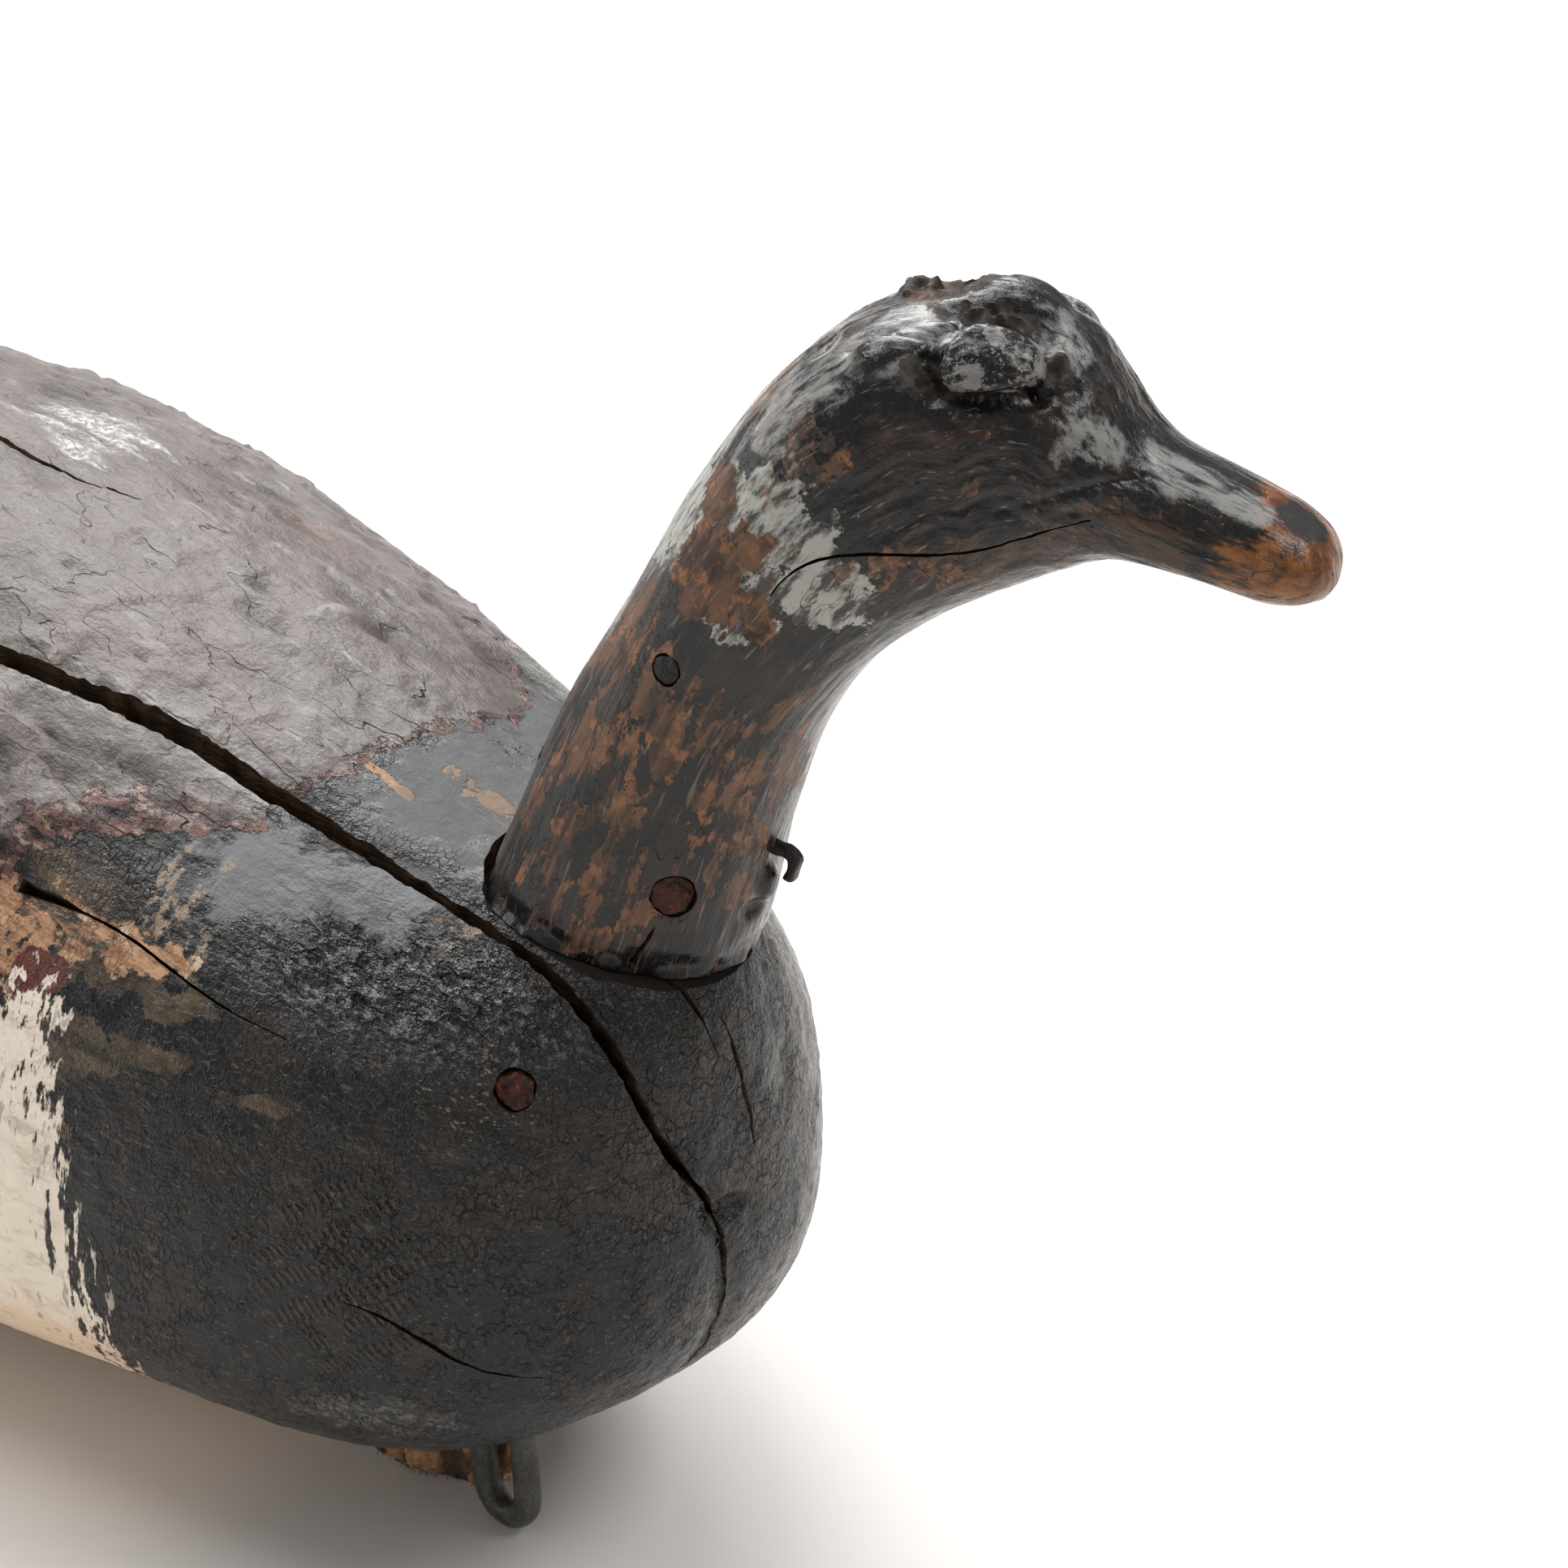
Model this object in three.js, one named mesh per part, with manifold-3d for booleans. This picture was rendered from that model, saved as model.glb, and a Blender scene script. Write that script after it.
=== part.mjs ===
// Goose hunting decoy: a solid carved body, and a head and neck cut from one bent root.
// Millimetres, +X towards the breast, +Y to the goose's left, +Z up. The pieces are made in the
// frame of the body, with its flat underside at z = 0 and its tail tip at x = 0. The whole decoy
// is then tipped back onto its line tie and the worn heel of its underside.
import * as THREE from 'three';
import { mergeVertices } from 'three/addons/utils/BufferGeometryUtils.js';
import Module from 'manifold-3d';

// Body
const bodyLength = 420.5;
const bodyWidth = 184;
const bodyHeight = 132;
const breastRun = 71; // how far behind the breast point its rounding starts
const tailRun = 14; // the same at the tail tip
const undersideShave = 2.5; // planed off the keel for the flat underside
const heelWear = 1.2; // worn off the heel where the decoy stands on it

// Head and neck
const headHeight = 107; // from the middle of the neck base to the crown
const billRound = 5; // how far the bill's end bulges past its last station
const neckSetback = 26.4; // middle of the neck base behind the breast point
const neckOffset = 6.2; // to the left of the body's middle
const neckSink = 3.4; // middle of the neck base below the back
const seatLedge = 4.2; // flat wood left round the neck in its seat
const headYaw = 28; // degrees, to the goose's left
const headRoll = -2; // degrees

// Drying checks in the body
const checkWidth = 4.2; // widest opening of the long check, on the back
const checkWidthBreast = 2.0;
const checkDepth = 17;
const sideCheckWidth = 1.3;
const sideCheckDepth = 6;
const knotHoleWidth = 5.5;

// Nails
const lowNailHead = 7.2;
const highNailHead = 5.6;
const backNailHead = 4.4;
const breastNailHead = 6.6;
const nailHeadThickness = 1.5;
const nailShank = 3.2;
const nailLength = 13;
const nailProud = 0.5; // how far a head stands out of the wood
const bentNailSize = 2.6;
const bentNailReach = 5.5;

// Line tie and the leather under it
const wire = 4.7;
const stapleSpan = 10.8; // between the middles of its legs
const stapleDrop = 21; // below the underside
const stapleGrip = 14; // in the wood
const stapleSetback = 48; // behind the breast point
const stapleOffset = -10; // to the right of the body's middle
const scrapLength = 30;
const scrapWidth = 17;
const scrapThickness = 3;
const scrapDroop = 9;

const clearance = 0.3; // between any two pieces

const wasm = await Module();
wasm.setup();
const vec = (x, y, z) => new THREE.Vector3(x, y, z);
const { lerp, clamp, degToRad } = THREE.MathUtils;
const signedPower = (v, p) => Math.sign(v) * Math.abs(v) ** p;

// Natural cubic through the given values, held beyond its ends
function cubic(xs, ys) {
  const n = xs.length;
  const bend = new Array(n).fill(0);
  const ratio = new Array(n).fill(0);
  for (let i = 1; i < n - 1; i++) {
    const before = xs[i] - xs[i - 1];
    const after = xs[i + 1] - xs[i];
    const pivot = 2 * (before + after) - before * ratio[i - 1];
    ratio[i] = after / pivot;
    const turn = (ys[i + 1] - ys[i]) / after - (ys[i] - ys[i - 1]) / before;
    bend[i] = (6 * turn - before * bend[i - 1]) / pivot;
  }
  for (let i = n - 2; i > 0; i--) bend[i] -= ratio[i] * bend[i + 1];
  return (value) => {
    const x = clamp(value, xs[0], xs[n - 1]);
    let i = 0;
    while (i < n - 2 && x > xs[i + 1]) i++;
    const h = xs[i + 1] - xs[i];
    const t = x - xs[i];
    const slope = (ys[i + 1] - ys[i]) / h - h * (2 * bend[i] + bend[i + 1]) / 6;
    return ys[i] + t * (slope + t * (bend[i] / 2 + t * (bend[i + 1] - bend[i]) / (6 * h)));
  };
}
// One curve for each column of a table whose first column is the station
function channels(rows) {
  const stations = rows.map((row) => row[0]);
  return rows[0].slice(1).map((_, k) => cubic(stations, rows.map((row) => row[k + 1])));
}

// Closed surface through rings of equal count, each end closed by a fan
function loft(rings) {
  const around = rings[0].length;
  const middle = (ring) => ring.reduce((sum, p) => sum.add(p), vec(0, 0, 0)).divideScalar(around);
  const points = [...rings.flat(), middle(rings[0]), middle(rings.at(-1))];
  const first = rings.length * around;
  const faces = [];
  for (let j = 0; j < around; j++) {
    const k = (j + 1) % around;
    for (let i = 0; i < rings.length - 1; i++) {
      const a = i * around;
      faces.push(a + j, a + k, a + around + k, a + j, a + around + k, a + around + j);
    }
    faces.push(first, k, j, first + 1, first - around + j, first - around + k);
  }
  const geometry = new THREE.BufferGeometry().setFromPoints(points);
  geometry.setIndex(faces);
  return geometry;
}

// A closed geometry as a solid for joins and cuts, turned the right way out
function solid(source) {
  const bare = source.clone();
  for (const name of ['normal', 'uv']) bare.deleteAttribute(name);
  const merged = mergeVertices(bare, 1e-4);
  const index = merged.index.array;
  const position = merged.attributes.position;
  const corner = (i) => new THREE.Vector3().fromBufferAttribute(position, i);
  const kept = [];
  let volume = 0;
  for (let i = 0; i < index.length; i += 3) {
    const [a, b, c] = index.slice(i, i + 3);
    if (a === b || b === c || c === a) continue;
    kept.push([a, b, c]);
    volume += corner(a).dot(corner(b).cross(corner(c)));
  }
  const triangles = kept.map(([a, b, c]) => (volume > 0 ? [a, b, c] : [a, c, b]));
  return new wasm.Manifold(new wasm.Mesh({
    numProp: 3,
    vertProperties: new Float32Array(position.array),
    triVerts: new Uint32Array(triangles.flat()),
  }));
}

const finishes = {
  paint: new THREE.MeshStandardMaterial({ color: 0x3c3b3b, roughness: 0.55, metalness: 0 }),
  neckPaint: new THREE.MeshStandardMaterial({ color: 0x4a3d33, roughness: 0.5, metalness: 0 }),
  rust: new THREE.MeshStandardMaterial({ color: 0x4a2e22, roughness: 0.85, metalness: 0.4 }),
  wire: new THREE.MeshStandardMaterial({ color: 0x6a6a62, roughness: 0.6, metalness: 0.7 }),
  leather: new THREE.MeshStandardMaterial({ color: 0xa98a62, roughness: 0.95, metalness: 0 }),
};

const decoy = new THREE.Group();
function addPiece(name, shape, finish) {
  const { vertProperties, triVerts } = shape.getMesh();
  const geometry = new THREE.BufferGeometry();
  geometry.setAttribute('position', new THREE.Float32BufferAttribute(vertProperties, 3));
  geometry.setIndex(new THREE.Uint32BufferAttribute(triVerts, 1));
  geometry.computeVertexNormals();
  const mesh = new THREE.Mesh(geometry, finish);
  mesh.name = name;
  decoy.add(mesh);
}

// Body form. Each row: share of the length from the tail, then back height, keel height,
// half width and the level of the greatest width, as shares of the body's own sizes.
const bodyForm = channels([
  [0.0, 0.515, 0.409, 0.26, 0.462],
  [0.048, 0.585, 0.334, 0.46, 0.454],
  [0.143, 0.745, 0.151, 0.72, 0.424],
  [0.285, 0.92, 0.0, 0.935, 0.394],
  [0.476, 1.0, 0.0, 0.995, 0.379],
  [0.666, 0.953, 0.0, 0.86, 0.379],
  [0.809, 0.852, 0.0, 0.728, 0.371],
  [0.904, 0.788, 0.0, 0.609, 0.386],
  [1.0, 0.781, 0.06, 0.521, 0.409],
]);
const upperFullness = 2.3; // 2 is an ellipse, more is squarer
const lowerFullness = 2.6;
const frontClosing = { back: 6, side: 2.34, keel: 2.3 };

function bodySection(x) {
  const [back, keel, half, level] = bodyForm.map((channel) => channel(x / bodyLength));
  const front = clamp((x - bodyLength + breastRun) / breastRun, 0, 1);
  const tail = Math.sqrt(1 - clamp((tailRun - x) / tailRun, 0, 1) ** 2);
  const closed = (power) => tail * (1 - front ** power) ** (1 / power);
  const middle = level * bodyHeight;
  return {
    middle,
    half: (half * bodyWidth / 2) * closed(frontClosing.side),
    up: (back * bodyHeight - middle) * closed(frontClosing.back),
    down: (middle - keel * bodyHeight + undersideShave) * closed(frontClosing.keel),
  };
}
function bodyPoint(x, angle) {
  const s = bodySection(x);
  const [c, d] = [Math.cos(angle), Math.sin(angle)];
  const power = 2 / (d > 0 ? upperFullness : lowerFullness);
  const z = s.middle + (d > 0 ? s.up : s.down) * signedPower(d, power);
  return vec(x, s.half * signedPower(c, power), Math.max(z, 0));
}
function insideBody(p) {
  if (p.x <= 0 || p.x >= bodyLength || p.z < 0) return false;
  const s = bodySection(p.x);
  const over = p.z > s.middle;
  const power = over ? upperFullness : lowerFullness;
  const rise = Math.abs(p.z - s.middle) / (over ? s.up : s.down);
  return (Math.abs(p.y) / s.half) ** power + rise ** power < 1;
}
// The point where a ray from the body's middle line towards p leaves the wood
function onSkin(p) {
  const axisX = clamp(p.x, 0.2 * bodyLength, bodyLength - breastRun);
  const from = vec(axisX, 0, bodySection(axisX).middle);
  let [near, far] = [0, 3];
  for (let i = 0; i < 40; i++) {
    const t = (near + far) / 2;
    if (insideBody(from.clone().lerp(p, t))) near = t;
    else far = t;
  }
  return from.lerp(p, near);
}
function skinNormal(p) {
  const step = bodyLength / 200;
  const a = onSkin(p.clone().add(vec(step, 0, 0)));
  const b = onSkin(p.clone().add(vec(-step, 0, 0)));
  const c = onSkin(p.clone().add(vec(0, step, step)));
  const d = onSkin(p.clone().add(vec(0, -step, -step)));
  const e = onSkin(p.clone().add(vec(0, step, -step)));
  const f = onSkin(p.clone().add(vec(0, -step, step)));
  const out = p.clone().sub(vec(Math.min(p.x, bodyLength - breastRun), 0, bodySection(p.x).middle));
  const normals = [c.sub(d), e.sub(f)].map((side) => side.cross(a.clone().sub(b)));
  const best = normals.sort((m, n) => n.length() - m.length())[0].normalize();
  return best.dot(out) < 0 ? best.negate() : best;
}
const bodyShare = ([x, y, z]) => vec(x * bodyLength, y * bodyWidth / 2, z * bodyHeight);

function bodyBlank(rows, around) {
  const rings = [];
  for (let i = 0; i <= rows; i++) {
    const x = bodyLength * (0.5 - 0.5 * Math.cos(Math.PI * i / rows));
    rings.push(Array.from({ length: around }, (_, j) => bodyPoint(x, 2 * Math.PI * j / around)));
  }
  return solid(loft(rings));
}

// A crack as a wedge that follows the skin: width at its mouth and depth as functions of its length
function crack(nodes, steps, width, depth) {
  const line = new THREE.CatmullRomCurve3(nodes.map(bodyShare), false, 'centripetal');
  const path = line.getSpacedPoints(steps).map(onSkin);
  const flare = depth(0.5) / 3; // the wedge goes on past the skin
  const rings = path.map((p, i) => {
    const along = path[Math.min(i + 1, steps)].clone().sub(path[Math.max(i - 1, 0)]).normalize();
    const out = skinNormal(p);
    const side = new THREE.Vector3().crossVectors(out, along).normalize();
    const deep = depth(i / steps);
    const half = (width(i / steps) / 2) * (1 + flare / deep);
    const top = p.clone().addScaledVector(out, flare);
    return [
      top.clone().addScaledVector(side, half),
      top.clone().addScaledVector(side, -half),
      p.clone().addScaledVector(out, -deep),
    ];
  });
  return solid(loft(rings));
}
const longCheck = [
  [0.423, -0.41, 0.962],
  [0.523, -0.4, 0.955],
  [0.671, -0.351, 0.914],
  [0.733, -0.288, 0.888],
  [0.814, -0.24, 0.83],
  [0.922, -0.197, 0.764],
  [0.982, -0.186, 0.68],
  [0.998, -0.102, 0.505],
  [1.0, -0.023, 0.406],
  [0.986, 0.029, 0.236],
  [0.946, 0.065, 0.076],
];
const sideCheck = [
  [0.749, -0.612, 0.739],
  [0.8, -0.568, 0.717],
  [0.843, -0.549, 0.677],
  [0.882, -0.512, 0.649],
];
const taper = (s, from, to) => THREE.MathUtils.smoothstep(s, from, to);

// Head form. Each row: station from the seat to the bill's end, then the back line's forward and
// up, the front line's forward and up, half width, all as shares of the head's height, and the
// fullness of the section.
const headForm = channels([
  [0.0, -0.215, 0.028, 0.196, -0.065, 0.192, 2.1],
  [0.12, -0.14, 0.187, 0.243, 0.093, 0.187, 2.1],
  [0.26, -0.061, 0.355, 0.28, 0.215, 0.182, 2.1],
  [0.4, 0.037, 0.523, 0.336, 0.336, 0.187, 2.1],
  [0.52, 0.136, 0.673, 0.421, 0.453, 0.196, 2.3],
  [0.62, 0.262, 0.85, 0.505, 0.523, 0.201, 2.6],
  [0.72, 0.486, 0.995, 0.607, 0.579, 0.192, 2.9],
  [0.8, 0.701, 0.963, 0.71, 0.617, 0.159, 2.7],
  [0.87, 0.808, 0.832, 0.794, 0.636, 0.121, 2.4],
  [0.94, 0.925, 0.766, 0.916, 0.612, 0.112, 2.3],
  [1.0, 1.065, 0.701, 1.019, 0.589, 0.093, 2.3],
]);
// Carving on both sides of the head: forward, side and up of its middle, half sizes along the
// same ways, and how far it stands out (or is sunk), all as shares of the head's height
const carving = [
  { at: [0.64, 0.06, 0.995], size: [0.1, 0.035, 0.04], lift: -0.012 }, // hollow over the brow
  { at: [0.63, 0.14, 0.95], size: [0.14, 0.09, 0.09], lift: -0.016 }, // eye socket
  { at: [0.63, 0.14, 0.95], size: [0.085, 0.07, 0.06], lift: 0.039 }, // eye
  { at: [0.477, 0.145, 0.95], size: [0.07, 0.04, 0.035], lift: 0.014 }, // lobe behind it
  { at: [0.545, 0.165, 0.93], size: [0.03, 0.04, 0.04], lift: -0.011 }, // pit between the two
];
const crownKnot = [
  { at: [0.47, 0.03, 1.01], size: [0.06, 0.05, 0.04], lift: 0.015 },
  { at: [0.54, 0.03, 1.01], size: [0.05, 0.04, 0.04], lift: -0.015 },
];

function carved(p) {
  let lift = 0;
  const add = (feature, side) => {
    const [f, y, z] = feature.at.map((v) => v * headHeight);
    const [a, b, c] = feature.size.map((v) => v * headHeight);
    const away = Math.hypot((p.x - f) / a, (p.y - side * y) / b, (p.z - z) / c);
    lift += feature.lift * headHeight * (1 - taper(away, 0.3, 1.25));
  };
  for (const feature of carving) [-1, 1].forEach((side) => add(feature, side));
  for (const feature of crownKnot) add(feature, 1);
  return lift;
}
function headPoint(t, angle) {
  const [bf, bz, ff, fz, half, fullness] = headForm.map((channel) => channel(t));
  const power = 2 / fullness;
  const across = signedPower(Math.cos(angle), power);
  const up = signedPower(Math.sin(angle), power);
  const middle = vec(bf + ff, 0, bz + fz).multiplyScalar(headHeight / 2);
  const p = vec((bf - ff) / 2 * up, half * across, (bz - fz) / 2 * up).multiplyScalar(headHeight);
  const out = p.clone().normalize();
  p.add(middle);
  return p.addScaledVector(out, carved(p));
}
// Stations crowd together on the head, where the carving is
const crowding = cubic([0, 0.3, 0.8, 1], [0, 0.52, 0.88, 1]);
function ringOf(t, around) {
  return Array.from({ length: around }, (_, j) => headPoint(t, 2 * Math.PI * j / around));
}

function headBlank(rows, around) {
  const rings = [];
  for (let i = 0; i <= rows; i++) rings.push(ringOf(crowding(i / rows), around));
  const last = rings.at(-1);
  const middle = last.reduce((sum, p) => sum.add(p), vec(0, 0, 0)).divideScalar(around);
  const ahead = new THREE.Vector3().crossVectors(
    last[0].clone().sub(middle),
    last[Math.round(around / 4)].clone().sub(middle),
  ).normalize();
  const rounding = 3;
  for (let k = 1; k <= rounding; k++) {
    const turn = (Math.PI / 2) * (k / (rounding + 0.6));
    const bulge = ahead.clone().multiplyScalar(billRound * Math.sin(turn));
    rings.push(last.map((p) => middle.clone().lerp(p, Math.cos(turn)).add(bulge)));
  }
  return loft(rings);
}

// The neck stands on a flat seat, sunk in the back just behind the breast point
const seatX = bodyLength - neckSetback;
function backHeight(x, y) {
  let [low, high] = [bodySection(x).middle, 1.2 * bodyHeight];
  for (let i = 0; i < 40; i++) {
    const z = (low + high) / 2;
    if (insideBody(vec(x, y, z))) low = z;
    else high = z;
  }
  return low;
}
const headPlace = new THREE.Matrix4().compose(
  vec(seatX, neckOffset, backHeight(seatX, neckOffset) - neckSink),
  new THREE.Quaternion().setFromEuler(new THREE.Euler(degToRad(headRoll), 0, degToRad(headYaw), 'ZYX')),
  vec(1, 1, 1),
);
const baseRing = ringOf(0, 36);
const baseMiddle = baseRing[0].clone().lerp(baseRing[18], 0.5);
const baseUp = new THREE.Vector3().crossVectors(
  baseRing[0].clone().sub(baseMiddle),
  baseRing[9].clone().sub(baseMiddle),
).normalize();
if (baseUp.z < 0) baseUp.negate();
function seatCutter() {
  const wider = baseRing.map((p) => {
    const out = p.clone().sub(baseMiddle);
    return baseMiddle.clone().add(out.setLength(out.length() + seatLedge));
  });
  const level = (h) => wider.map((p) => p.clone().addScaledVector(baseUp, h));
  const rings = [level(-clearance), level(headHeight / 3)];
  return solid(loft(rings).applyMatrix4(headPlace));
}

// A nail driven in along -Z, its head's top at z = 0
function nailGeometry(head, grow, mouth) {
  const r = head / 2 + grow;
  const shank = nailShank / 2 + grow;
  const profile = [
    [0, -nailLength - grow],
    [shank * 0.5, -nailLength - grow],
    [shank, -nailLength + 1.3 * nailShank],
    [shank, -nailHeadThickness - grow],
    [r, -nailHeadThickness * 0.6 - grow],
    [mouth ? r : r * 0.86, mouth],
    [0, mouth || nailHeadThickness / 6],
  ];
  const lathe = new THREE.LatheGeometry(profile.map(([x, y]) => new THREE.Vector2(x, y)), 10);
  return lathe.rotateX(Math.PI / 2);
}
function drive(out, at, geometry) {
  const turn = new THREE.Quaternion().setFromUnitVectors(vec(0, 0, 1), out);
  const place = at.clone().addScaledVector(out, nailProud);
  return solid(geometry.applyMatrix4(new THREE.Matrix4().compose(place, turn, vec(1, 1, 1))));
}
// A spot on the head or neck and the way out of the wood there, in the body's frame
function headSpot(t, degrees) {
  const angle = degToRad(degrees);
  const at = headPoint(t, angle);
  const along = headPoint(t + 0.01, angle).sub(headPoint(t - 0.01, angle));
  const round = headPoint(t, angle + 0.05).sub(headPoint(t, angle - 0.05));
  const out = round.cross(along).normalize();
  const from = headPoint(t, angle).sub(headPoint(t, angle + Math.PI));
  if (out.dot(from) < 0) out.negate();
  return { at: at.applyMatrix4(headPlace), out: out.transformDirection(headPlace) };
}

let head = solid(headBlank(44, 40).applyMatrix4(headPlace));
let body = bodyBlank(38, 44);
body = body.subtract(seatCutter());

const mouth = nailHeadThickness * 4; // a hole's mouth reaches past the skin
const neckNails = [
  { name: 'neck_nail_low', spot: headSpot(0.1, 208), head: lowNailHead },
  { name: 'neck_nail_high', spot: headSpot(0.4, 164), head: highNailHead },
  { name: 'neck_nail_back', spot: headSpot(0.16, 97), head: backNailHead },
];
for (const nail of neckNails) {
  const { at, out } = nail.spot;
  head = head.subtract(drive(out, at, nailGeometry(nail.head, clearance, mouth)));
  addPiece(nail.name, drive(out, at, nailGeometry(nail.head, 0, 0)), finishes.rust);
}

// Nail that stands out of the front of the neck and is hammered over
const bent = headSpot(0.15, 262);
function bentNail(grow) {
  const down = vec(0, 0, -1).addScaledVector(bent.out, bent.out.z).normalize();
  const inside = nailLength * 0.8;
  const hook = [[-inside, 0], [0, 0], [0.6, 0], [1, 0.25], [0.92, 0.75]];
  const points = hook.slice(0, grow ? 3 : 5).map(([ahead, below], i) => {
    const reach = i ? ahead * bentNailReach : ahead - grow;
    return bent.at.clone().addScaledVector(bent.out, reach).addScaledVector(down, below * bentNailReach);
  });
  const radius = bentNailSize / 2 + grow;
  const section = new THREE.Shape(new THREE.EllipseCurve(0, 0, radius, radius).getPoints(8).slice(0, 8));
  const extrudePath = new THREE.CatmullRomCurve3(points);
  return solid(new THREE.ExtrudeGeometry(section, { steps: grow ? 4 : 10, extrudePath }));
}
head = head.subtract(bentNail(clearance));
addPiece('neck_nail_bent', bentNail(0), finishes.rust);

const breastSpot = onSkin(bodyShare([0.966, -0.32, 0.625]));
const breastOut = skinNormal(breastSpot);
body = body.subtract(drive(breastOut, breastSpot, nailGeometry(breastNailHead, clearance, mouth)));
addPiece('breast_nail', drive(breastOut, breastSpot, nailGeometry(breastNailHead, 0, 0)), finishes.rust);

// Line tie: a wire staple with its legs driven up into the underside
const stapleX = bodyLength - stapleSetback;
const stapleEdge = (wire + stapleSpan) / 2;
class StapleLine extends THREE.Curve {
  getPoint(t, target = vec(0, 0, 0)) {
    const radius = stapleSpan / 2;
    const leg = stapleGrip + stapleDrop - wire / 2 - radius;
    const length = 2 * leg + Math.PI * radius;
    const s = t * length;
    const bottom = -stapleDrop + wire / 2 + radius;
    if (s < leg) return target.set(-radius, 0, stapleGrip - s);
    if (s > length - leg) return target.set(radius, 0, stapleGrip - (length - s));
    const turn = (s - leg) / radius;
    return target.set(-radius * Math.cos(turn), 0, bottom - radius * Math.sin(turn));
  }
}
function staple(grow, steps) {
  const round = new THREE.EllipseCurve(0, 0, wire / 2 + grow, wire / 2 + grow).getPoints(8).slice(0, 8);
  const extrudePath = new StapleLine();
  const tube = new THREE.ExtrudeGeometry(new THREE.Shape(round), { steps, extrudePath });
  return tube.translate(stapleX, stapleOffset, 0);
}
const lineTie = solid(staple(0, 22));
const tieHoles = solid(staple(clearance, 22).translate(0, 0, clearance));
body = body.subtract(tieHoles);
addPiece('line_tie', lineTie, finishes.wire);

// Leather: a torn tab pinned under the staple, its loose end drooping
function leatherScrap(rows) {
  const start = stapleX - 0.14 * stapleSpan; // just past the leg that pins it
  const across = [-1, -0.5, 0, 0.5, 1];
  const corners = [...across.map((a) => [a, 0.5]), ...across.toReversed().map((a) => [a, -0.5])];
  const rings = [];
  for (let i = 0; i <= rows; i++) {
    const s = i / rows;
    const droop = scrapDroop * taper(s, 0.25, 1.1);
    const half = (scrapWidth / 2) * (1 - 0.3 * taper(s, 0.5, 1)) * (1 + 0.12 * Math.sin(9 * s));
    const top = -clearance - scrapThickness / 2;
    rings.push(corners.map(([a, up]) => vec(
      start - scrapLength * s * (1 + 0.05 * Math.sin(7 * a + 2)),
      stapleOffset + half * (a + 0.2 * Math.sin(5 * s)),
      top + up * scrapThickness - droop * (1 + 0.25 * a * s),
    )));
  }
  return solid(loft(rings));
}
addPiece('leather_scrap', leatherScrap(8).subtract(solid(staple(clearance, 22))), finishes.leather);

// The long check from the back over the breast, and the shorter one on the right side
function longWidth(s) {
  const opening = lerp(checkWidth, checkWidthBreast, taper(s, 0.5, 0.78));
  return opening * lerp(0.15, 1, taper(s, 0, 0.25)) * lerp(1, 0.35, taper(s, 0.85, 1));
}
const longDepth = (s) => checkDepth * lerp(0.3, 1, taper(s, 0, 0.2)) * lerp(1, 0.4, taper(s, 0.7, 1));
function sideWidth(s) {
  return lerp(knotHoleWidth, sideCheckWidth, taper(s, 0, 0.25)) * lerp(1, 0.4, taper(s, 0.6, 1));
}
const sideDepth = (s) => sideCheckDepth * lerp(1, 0.4, s);
body = body.subtract(crack(longCheck, 26, longWidth, longDepth));
body = body.subtract(crack(sideCheck, 9, sideWidth, sideDepth));

// At rest the decoy stands on the staple and on the heel of its underside, which is worn flat there
const foot = vec(stapleX, 0, -stapleDrop);
function steepestOver(shape) {
  const { vertProperties, numProp } = shape.getMesh();
  let heel = { slope: -Infinity, x: 0 };
  for (let i = 0; i < vertProperties.length; i += numProp) {
    const x = vertProperties[i];
    const slope = (vertProperties[i + 2] - foot.z) / (x - foot.x);
    if (x < foot.x - stapleEdge && slope > heel.slope) heel = { slope, x };
  }
  return heel;
}
const heel = steepestOver(body);
const restPitch = Math.atan(heel.slope - heelWear / (foot.x - heel.x));
const ground = new THREE.BoxGeometry(bodyLength, bodyWidth, bodyHeight);
ground.translate(-bodyLength / 2, 0, -bodyHeight / 2).rotateY(-restPitch).translate(...foot);
body = body.subtract(solid(ground));
addPiece('body', body, finishes.paint);
addPiece('head_neck', head, finishes.neckPaint);
decoy.rotation.y = restPitch;

const root = new THREE.Group();
root.add(decoy);
root.updateMatrixWorld(true);
const box = new THREE.Box3().setFromObject(root, true);
const middle = box.getCenter(vec(0, 0, 0));
decoy.position.set(-middle.x, -middle.y, -box.min.z);
root.updateMatrixWorld(true);

export default root;
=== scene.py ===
import math

import bpy
import numpy as np
from mathutils import Matrix, Vector
from mathutils.kdtree import KDTree


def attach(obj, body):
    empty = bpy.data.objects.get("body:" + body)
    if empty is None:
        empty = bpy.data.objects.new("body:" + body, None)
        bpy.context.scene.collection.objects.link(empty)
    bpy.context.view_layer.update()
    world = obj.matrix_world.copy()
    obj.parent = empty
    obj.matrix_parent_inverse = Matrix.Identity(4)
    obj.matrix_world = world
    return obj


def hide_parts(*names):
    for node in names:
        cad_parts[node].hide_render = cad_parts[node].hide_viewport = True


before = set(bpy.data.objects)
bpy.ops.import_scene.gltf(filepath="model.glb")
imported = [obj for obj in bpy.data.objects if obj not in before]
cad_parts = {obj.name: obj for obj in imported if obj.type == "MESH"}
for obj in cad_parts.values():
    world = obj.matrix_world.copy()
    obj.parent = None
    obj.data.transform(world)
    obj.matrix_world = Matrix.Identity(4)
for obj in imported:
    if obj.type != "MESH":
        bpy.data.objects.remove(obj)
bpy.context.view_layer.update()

# The pieces are worked out in millimetres in the carver's frame: tail tip at x = 0, flat underside
# at z = 0. The rest pitch then tips the decoy back onto its staple and its heel.
rest = {"pitch": 4.837422, "x": -238.4209, "z": -10.48723}


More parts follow.
